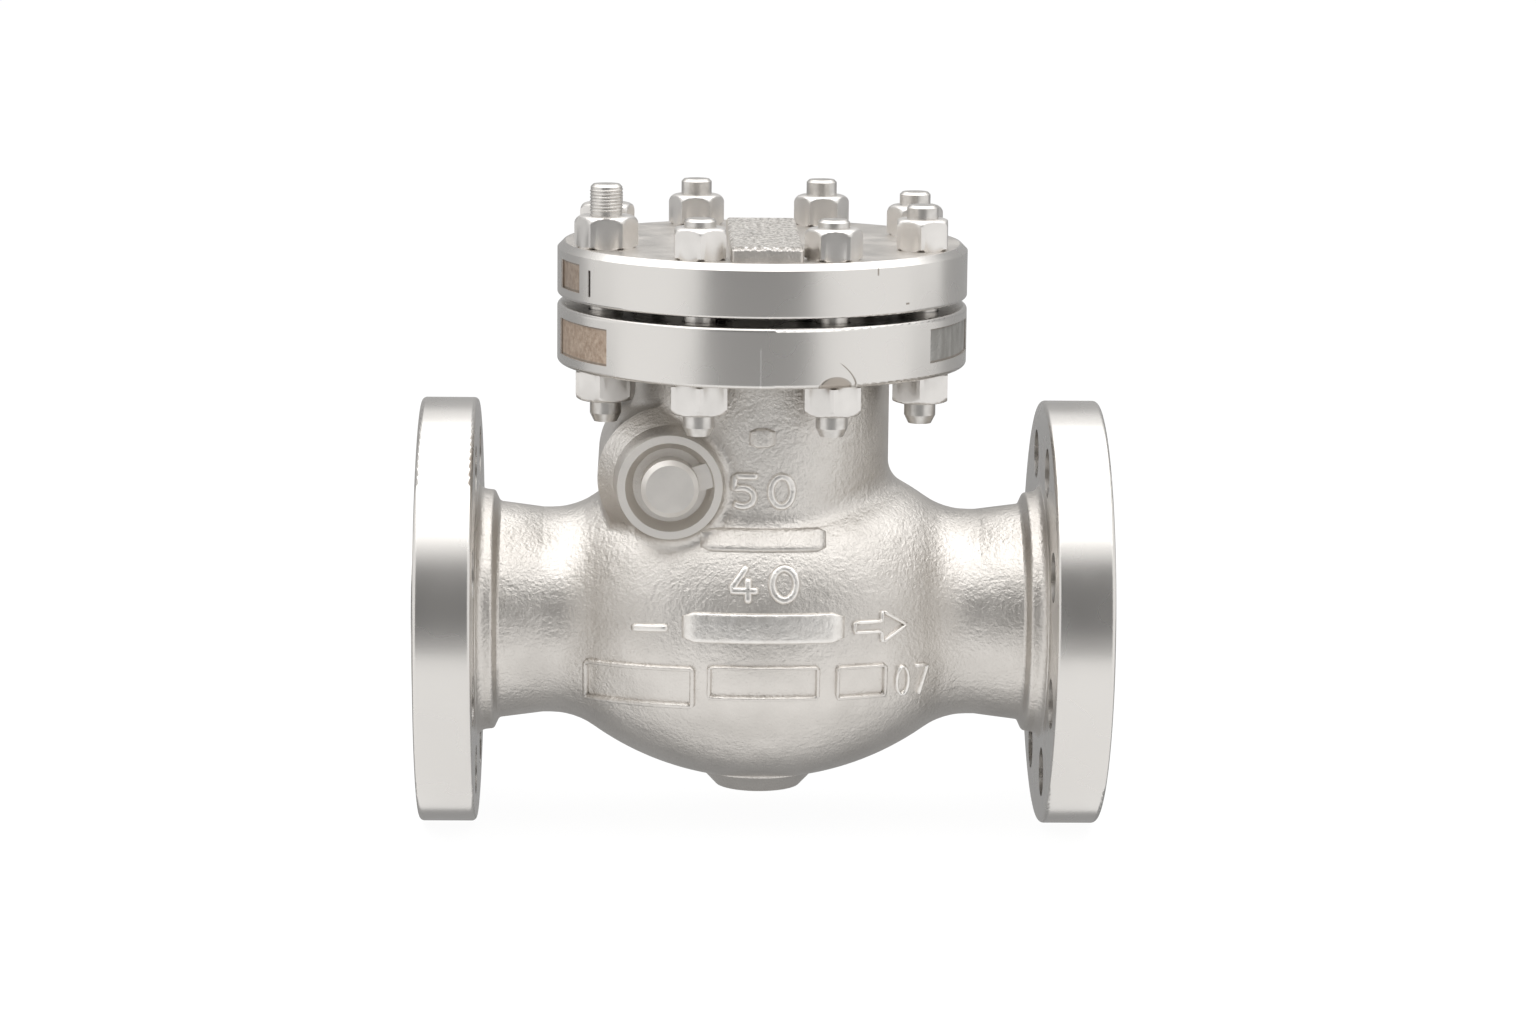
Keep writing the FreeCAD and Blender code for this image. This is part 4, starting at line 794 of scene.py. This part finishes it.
def stud_finish():
    """Turned steel with fine dull patches."""
    finish = Finish("stud_steel")
    colour = finish.blend(finish.patches(STUD_PATCHES), STUD_LIGHT, STUD_DULL)
    height = finish.scaled(finish.noise(STUD_DENTS[0], 2), STUD_DENTS[1])
    return finish.made_of(colour, finish.patches(STUD_WEAR, STUD_ROUGHNESS), height)


stud_steel = stud_finish()
for number in range(1, STUD_COUNT + 1):
    dress(stud_steel, "cover_stud_%d" % number)


# Thread of the tall stud
# The stud at the front left stands out highest and shows its cut thread above its nut.
# It is one ridge of the stud's own steel that winds up to the chamfered end.

LONG_STUD = 7
TALL_NUT_HIGH = 12.4 * MM
THREAD_PITCH = 1.25 * MM
THREAD_RISE = 0.27 * MM
THREAD_ROOT = 0.15 * MM
THREAD_FOOT_SHARE = 0.46
THREAD_CREST_SHARE = 0.09
THREAD_FROM_NUT = 0.4 * MM
THREAD_FROM_TOP = 1.3 * MM
STEPS_IN_A_TURN = 32


def make_thread():
    """A blunt four-cornered ridge, spun and lifted round the stud."""
    low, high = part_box("cover_stud_%d" % LONG_STUD)
    middle = (low + high) / 2
    radius = (high.x - low.x) / 2
    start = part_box("upper_nut_%d" % LONG_STUD)[0].z + TALL_NUT_HIGH + THREAD_FROM_NUT + THREAD_PITCH / 2
    end = high.z - THREAD_FROM_TOP - THREAD_PITCH / 2
    steps = round((end - start) / THREAD_PITCH * STEPS_IN_A_TURN)
    section = (
        (-THREAD_ROOT, -THREAD_FOOT_SHARE), (-THREAD_ROOT, THREAD_FOOT_SHARE),
        (THREAD_RISE, THREAD_CREST_SHARE), (THREAD_RISE, -THREAD_CREST_SHARE),
    )
    mesh = bmesh.new()
    corners = [
        mesh.verts.new((middle.x + radius + out, middle.y, start + up * THREAD_PITCH)) for out, up in section
    ]
    face = mesh.faces.new(corners)
    bmesh.ops.spin(
        mesh, geom=corners + list(face.edges) + [face], cent=(middle.x, middle.y, 0), axis=(0, 0, 1),
        dvec=(0, 0, THREAD_PITCH / STEPS_IN_A_TURN), angle=math.tau * steps / STEPS_IN_A_TURN, steps=steps,
    )
    new_piece("stud_thread", mesh, stud_steel, "casing")


make_thread()


# Cover nuts
# Sixteen hexagon nuts of bright steel on the cover's studs, eight above the cover and eight below its flange.
# Each is turned from bar with a well rounded outer end, and then its six flats are milled.

NUT_COLOUR = (0.80, 0.775, 0.745)
NUT_ROUGHNESS = 0.36
UPPER_TURNS = (2, 24, 0, 3, -2, 15, 1, 31)
LOWER_TURNS = (31, 26, 9, 24, 12, 5, 20, 30)
UPPER_FLATS = 19 * MM
TALL_FLATS = 21 * MM
LOWER_FLATS = 21 * MM
NUT_BORE = 6.05 * MM
NUT_ROUND = 3.2 * MM
NUT_CROWN = 2.2 * MM
NUT_CHAMFER = 0.9 * MM
NUT_SHARP = 38
FLAT_SPAN = 60
ROUND_STEPS = 8
COLUMNS = 72
WELD = 0.001 * MM

nut_steel = machined_finish("nut_steel", NUT_COLOUR, NUT_ROUGHNESS, "z")


def nut_outline(flats, high):
    """Half a blank's section: distance from the stud's axis and height from the seat."""
    corner = flats / math.sqrt(3)
    crown = flats / 2 - NUT_CROWN
    outline = [(NUT_BORE, 0), (flats / 2, 0), (corner, NUT_CHAMFER)]
    for step in range(ROUND_STEPS + 1):
        lean = math.pi / 2 * step / ROUND_STEPS
        outline.append((crown + (corner - crown) * math.cos(lean), high - NUT_ROUND * (1 - math.sin(lean))))
    return outline + [(NUT_BORE, high)]


def make_nut(name, node, flats, high, turn, upwards):
    """A blank spun about its stud, then each point outside the hexagon is drawn in to it."""
    low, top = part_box(node)
    middle = (low + top) / 2
    first = math.radians(turn + FLAT_SPAN / 2)
    outwards = Vector((math.sin(first), -math.cos(first), 0))
    mesh = bmesh.new()
    points = []
    for out, up in nut_outline(flats, high):
        height = low.z + up if upwards else top.z - up
        points.append(mesh.verts.new(Vector((middle.x, middle.y, height)) + outwards * out))
    edges = [mesh.edges.new(pair) for pair in zip(points, points[1:] + points[:1])]
    bmesh.ops.spin(
        mesh, geom=points + edges, cent=(middle.x, middle.y, 0), axis=(0, 0, 1), angle=math.tau,
        steps=COLUMNS, use_merge=True,
    )
    bmesh.ops.remove_doubles(mesh, verts=mesh.verts, dist=WELD)
    for vertex in mesh.verts:
        across, along = vertex.co.x - middle.x, vertex.co.y - middle.y
        out = math.hypot(across, along)
        azimuth = math.degrees(math.atan2(across, -along))
        from_flat = (azimuth - turn + FLAT_SPAN / 2) % FLAT_SPAN - FLAT_SPAN / 2
        flat = flats / 2 / math.cos(math.radians(from_flat))
        if out > flat:
            vertex.co.x = middle.x + across * flat / out
            vertex.co.y = middle.y + along * flat / out
    nut = new_piece(name, mesh, nut_steel, "casing", sharp=NUT_SHARP)
    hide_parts(node)


for number, (upper_turn, lower_turn) in enumerate(zip(UPPER_TURNS, LOWER_TURNS), start=1):
    upper, lower = "upper_nut_%d" % number, "lower_nut_%d" % number
    dress(nut_steel, upper, lower)
    tall = number == LONG_STUD
    high = TALL_NUT_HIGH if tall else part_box(upper)[1].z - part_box(upper)[0].z
    flats = TALL_FLATS if tall else UPPER_FLATS
    make_nut("upper_hex_nut_%d" % number, upper, flats, high, upper_turn, True)
    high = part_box(lower)[1].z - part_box(lower)[0].z
    make_nut("lower_hex_nut_%d" % number, lower, LOWER_FLATS, high, lower_turn, False)


# Room and floor
# A white room, and a pale floor under the valve that melts into it and keeps a faint shadow.
# Cameras, mirrors and glass see them white, and soft light finds them a plain level.

ROOM_FILL = 0.60
FLOOR_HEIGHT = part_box("body_inlet_end")[0].z
FLOOR_HALF = 30.0
FLOOR_COLOUR = (0.86, 0.86, 0.86, 1)
FLOOR_ROUGHNESS = 0.9
WHITE_SHARE = 0.86
WHITE_LEVEL = 1.09


def seen_directly_or_mirrored(tree):
    """A socket that is one for what the camera, a mirror or glass sees, and nought for soft light."""
    path = tree.nodes.new("ShaderNodeLightPath")
    seen = path.outputs["Is Camera Ray"]
    for name in ("Is Glossy Ray", "Is Transmission Ray"):
        either = tree.nodes.new("ShaderNodeMath")
        either.operation = "MAXIMUM"
        tree.links.new(seen, either.inputs[0])
        tree.links.new(path.outputs[name], either.inputs[1])
        seen = either.outputs[0]
    return seen


def light_room():
    """White where it is seen, and a plain soft fill for everything else."""
    world = bpy.data.worlds.new("room")
    world.use_nodes = True
    tree = world.node_tree
    background = tree.nodes["Background"]
    background.inputs["Color"].default_value = (1, 1, 1, 1)
    strength = tree.nodes.new("ShaderNodeMapRange")
    tree.links.new(seen_directly_or_mirrored(tree), strength.inputs["Value"])
    strength.inputs["To Min"].default_value = ROOM_FILL
    strength.inputs["To Max"].default_value = 1.0
    tree.links.new(strength.outputs[0], background.inputs["Strength"])
    scene.world = world


def flat_sheet(name, corners):
    """A flat four-cornered sheet that belongs to the studio."""
    mesh = bmesh.new()
    mesh.faces.new([mesh.verts.new(corner) for corner in corners])
    data = bpy.data.meshes.new(name)
    mesh.to_mesh(data)
    mesh.free()
    sheet = bpy.data.objects.new(name, data)
    scene.collection.objects.link(sheet)
    return sheet


def make_floor():
    """A matt sheet with a share of plain white where it is seen."""
    left, right = COVER_AXIS - FLOOR_HALF, COVER_AXIS + FLOOR_HALF
    near, far = -FLOOR_HALF, FLOOR_HALF
    places = ((left, near), (right, near), (right, far), (left, far))
    floor = flat_sheet("floor", [(x, y, FLOOR_HEIGHT) for x, y in places])
    paint = bpy.data.materials.new("floor")
    paint.use_nodes = True
    tree = paint.node_tree
    matt = tree.nodes["Principled BSDF"]
    matt.inputs["Base Color"].default_value = FLOOR_COLOUR
    matt.inputs["Roughness"].default_value = FLOOR_ROUGHNESS
    matt.inputs["Specular IOR Level"].default_value = 0.0
    white = tree.nodes.new("ShaderNodeEmission")
    white.inputs["Strength"].default_value = WHITE_LEVEL
    share = tree.nodes.new("ShaderNodeMath")
    share.operation = "MULTIPLY"
    share.inputs[1].default_value = WHITE_SHARE
    tree.links.new(seen_directly_or_mirrored(tree), share.inputs[0])
    blend = tree.nodes.new("ShaderNodeMixShader")
    tree.links.new(share.outputs[0], blend.inputs["Fac"])
    tree.links.new(matt.outputs[0], blend.inputs[1])
    tree.links.new(white.outputs[0], blend.inputs[2])
    tree.links.new(blend.outputs[0], tree.nodes["Material Output"].inputs["Surface"])
    floor.data.materials.append(paint)


light_room()
make_floor()


# Grey cards
# Flat cards round the valve: on the floor before it, upright beyond that, under it, and in a bent row behind.
# They give turned steel the photograph's dark bands and edges, and only reflections see them.

CARD_LIFT = MM
CARD_NEAR = -0.42
CARD_FAR = -2.40
CARD_NEAR_REACH = (0.36, 0.30)
CARD_FAR_REACH = (1.55, 1.15)
FLOOR_CARD_TONE = 0.46
FRONT_CARD_TOP = 1.85
FRONT_CARD_TONE = 0.20
UNDER_CARD_FRONT = -0.035
UNDER_CARD_BACK = 1.15
UNDER_CARD_HALF = 1.2
UNDER_CARD_TONE = 0.38
BACK_RADIUS = 1.2
BACK_HEIGHT = 0.80
BACK_SWEEP = (115, 245)
BACK_STEPS = 6
BACK_TONE = 0.42


def grey_card(name, corners, tone):
    """A flat grey card that only reflections see."""
    card = flat_sheet(name, corners)
    card.visible_camera = False
    card.visible_diffuse = False
    card.visible_shadow = False
    paint = bpy.data.materials.new(name)
    paint.use_nodes = True
    tree = paint.node_tree
    glow = tree.nodes.new("ShaderNodeEmission")
    glow.inputs["Color"].default_value = (tone, tone, tone, 1)
    tree.links.new(glow.outputs[0], tree.nodes["Material Output"].inputs["Surface"])
    card.data.materials.append(paint)


def make_front_cards():
    """The card on the floor and the upright one at its far edge."""
    low = FLOOR_HEIGHT + CARD_LIFT
    near_left = (COVER_AXIS - CARD_NEAR_REACH[0], CARD_NEAR, low)
    near_right = (COVER_AXIS + CARD_NEAR_REACH[1], CARD_NEAR, low)
    far_left = (COVER_AXIS - CARD_FAR_REACH[0], CARD_FAR, low)
    far_right = (COVER_AXIS + CARD_FAR_REACH[1], CARD_FAR, low)
    grey_card("floor_card", [near_left, far_left, far_right, near_right], FLOOR_CARD_TONE)
    raised = [(x, y, FRONT_CARD_TOP) for x, y, _ in (far_right, far_left)]
    grey_card("front_card", [far_left, far_right] + raised, FRONT_CARD_TONE)


def make_under_card():
    """The card on the floor under the valve and behind it."""
    left, right = COVER_AXIS - UNDER_CARD_HALF, COVER_AXIS + UNDER_CARD_HALF
    places = (
        (left, UNDER_CARD_FRONT), (right, UNDER_CARD_FRONT), (right, UNDER_CARD_BACK), (left, UNDER_CARD_BACK)
    )
    grey_card("under_card", [(x, y, FLOOR_HEIGHT + CARD_LIFT) for x, y in places], UNDER_CARD_TONE)


def make_back_cards():
    """The bent row behind, one upright card for each step of the bend."""
    low = FLOOR_HEIGHT + CARD_LIFT
    feet = []
    for step in range(BACK_STEPS + 1):
        turn = math.radians(BACK_SWEEP[0] + (BACK_SWEEP[1] - BACK_SWEEP[0]) * step / BACK_STEPS)
        feet.append((COVER_AXIS + BACK_RADIUS * math.sin(turn), -BACK_RADIUS * math.cos(turn)))
    for number, (first, second) in enumerate(zip(feet, feet[1:]), start=1):
        corners = [(*first, low), (*second, low), (*second, BACK_HEIGHT), (*first, BACK_HEIGHT)]
        grey_card("back_card_%d" % number, corners, BACK_TONE)


make_front_cards()
make_under_card()
make_back_cards()


# Lamp
# One wide soft lamp almost straight above the valve, a little to its front.
# It lights the tops of the rims and the necks, and the camera doesn't see it.

LAMP_LEVEL = 1.22
LAMP_SIZE = (2.6, 2.3)
LAMP_DISTANCE = 1.4
LAMP_ELEVATION = math.radians(88)


def make_lamp():
    """The lamp, facing down at the valve."""
    lamp = bpy.data.lights.new("soft_lamp", "AREA")
    lamp.shape = "RECTANGLE"
    lamp.size, lamp.size_y = LAMP_SIZE
    lamp.energy = LAMP_LEVEL * math.pi * LAMP_SIZE[0] * LAMP_SIZE[1]
    holder = bpy.data.objects.new("soft_lamp", lamp)
    back = Vector((0, -math.cos(LAMP_ELEVATION), math.sin(LAMP_ELEVATION)))
    holder.location = Vector((COVER_AXIS, 0, 0)) + back * LAMP_DISTANCE
    holder.rotation_mode = "QUATERNION"
    holder.rotation_quaternion = back.to_track_quat("Z", "Y")
    holder.visible_camera = False
    scene.collection.objects.link(holder)


make_lamp()
scene.view_settings.view_transform = "Standard"


# Camera
# A long lens a little above the valve, which is turned slightly away on its outlet side.
# The distance, angles and focal length come from fitting the valve's known sizes to the photograph.

PHOTO_WIDTH = 1536
PHOTO_HEIGHT = 1024
CAMERA_DISTANCE = 1.7733
CAMERA_ELEVATION = math.radians(9.792)
VALVE_YAW = math.radians(1.553)
CAMERA_ROLL = math.radians(0.584)
FOCAL_PIXELS = 4556.9
AXIS_PIXEL = (759.97, 509.01)
AIM_HEIGHT = 0.040
SENSOR_WIDTH = 36.0


def make_camera():
    """The camera, aimed at a point on the cover's axis above the flow."""
    level = Vector((math.sin(VALVE_YAW), math.cos(VALVE_YAW), 0))
    right = Vector((math.cos(VALVE_YAW), -math.sin(VALVE_YAW), 0))
    upright = Vector((0, 0, 1))
    forward = level * math.cos(CAMERA_ELEVATION) - upright * math.sin(CAMERA_ELEVATION)
    up = upright * math.cos(CAMERA_ELEVATION) + level * math.sin(CAMERA_ELEVATION)
    rolled_right = right * math.cos(CAMERA_ROLL) + up * math.sin(CAMERA_ROLL)
    rolled_up = up * math.cos(CAMERA_ROLL) - right * math.sin(CAMERA_ROLL)
    lens = bpy.data.cameras.new("camera")
    lens.sensor_width = SENSOR_WIDTH
    lens.sensor_fit = "HORIZONTAL"
    lens.lens = FOCAL_PIXELS / PHOTO_WIDTH * SENSOR_WIDTH
    lens.shift_x = (PHOTO_WIDTH / 2 - AXIS_PIXEL[0]) / PHOTO_WIDTH
    lens.shift_y = (AXIS_PIXEL[1] - PHOTO_HEIGHT / 2) / PHOTO_WIDTH
    camera = bpy.data.objects.new("camera", lens)
    turn = Matrix((rolled_right, rolled_up, -forward)).transposed().to_4x4()
    place = Vector((COVER_AXIS, 0, AIM_HEIGHT)) - forward * CAMERA_DISTANCE
    camera.matrix_world = Matrix.Translation(place) @ turn
    scene.collection.objects.link(camera)
    scene.camera = camera


make_camera()
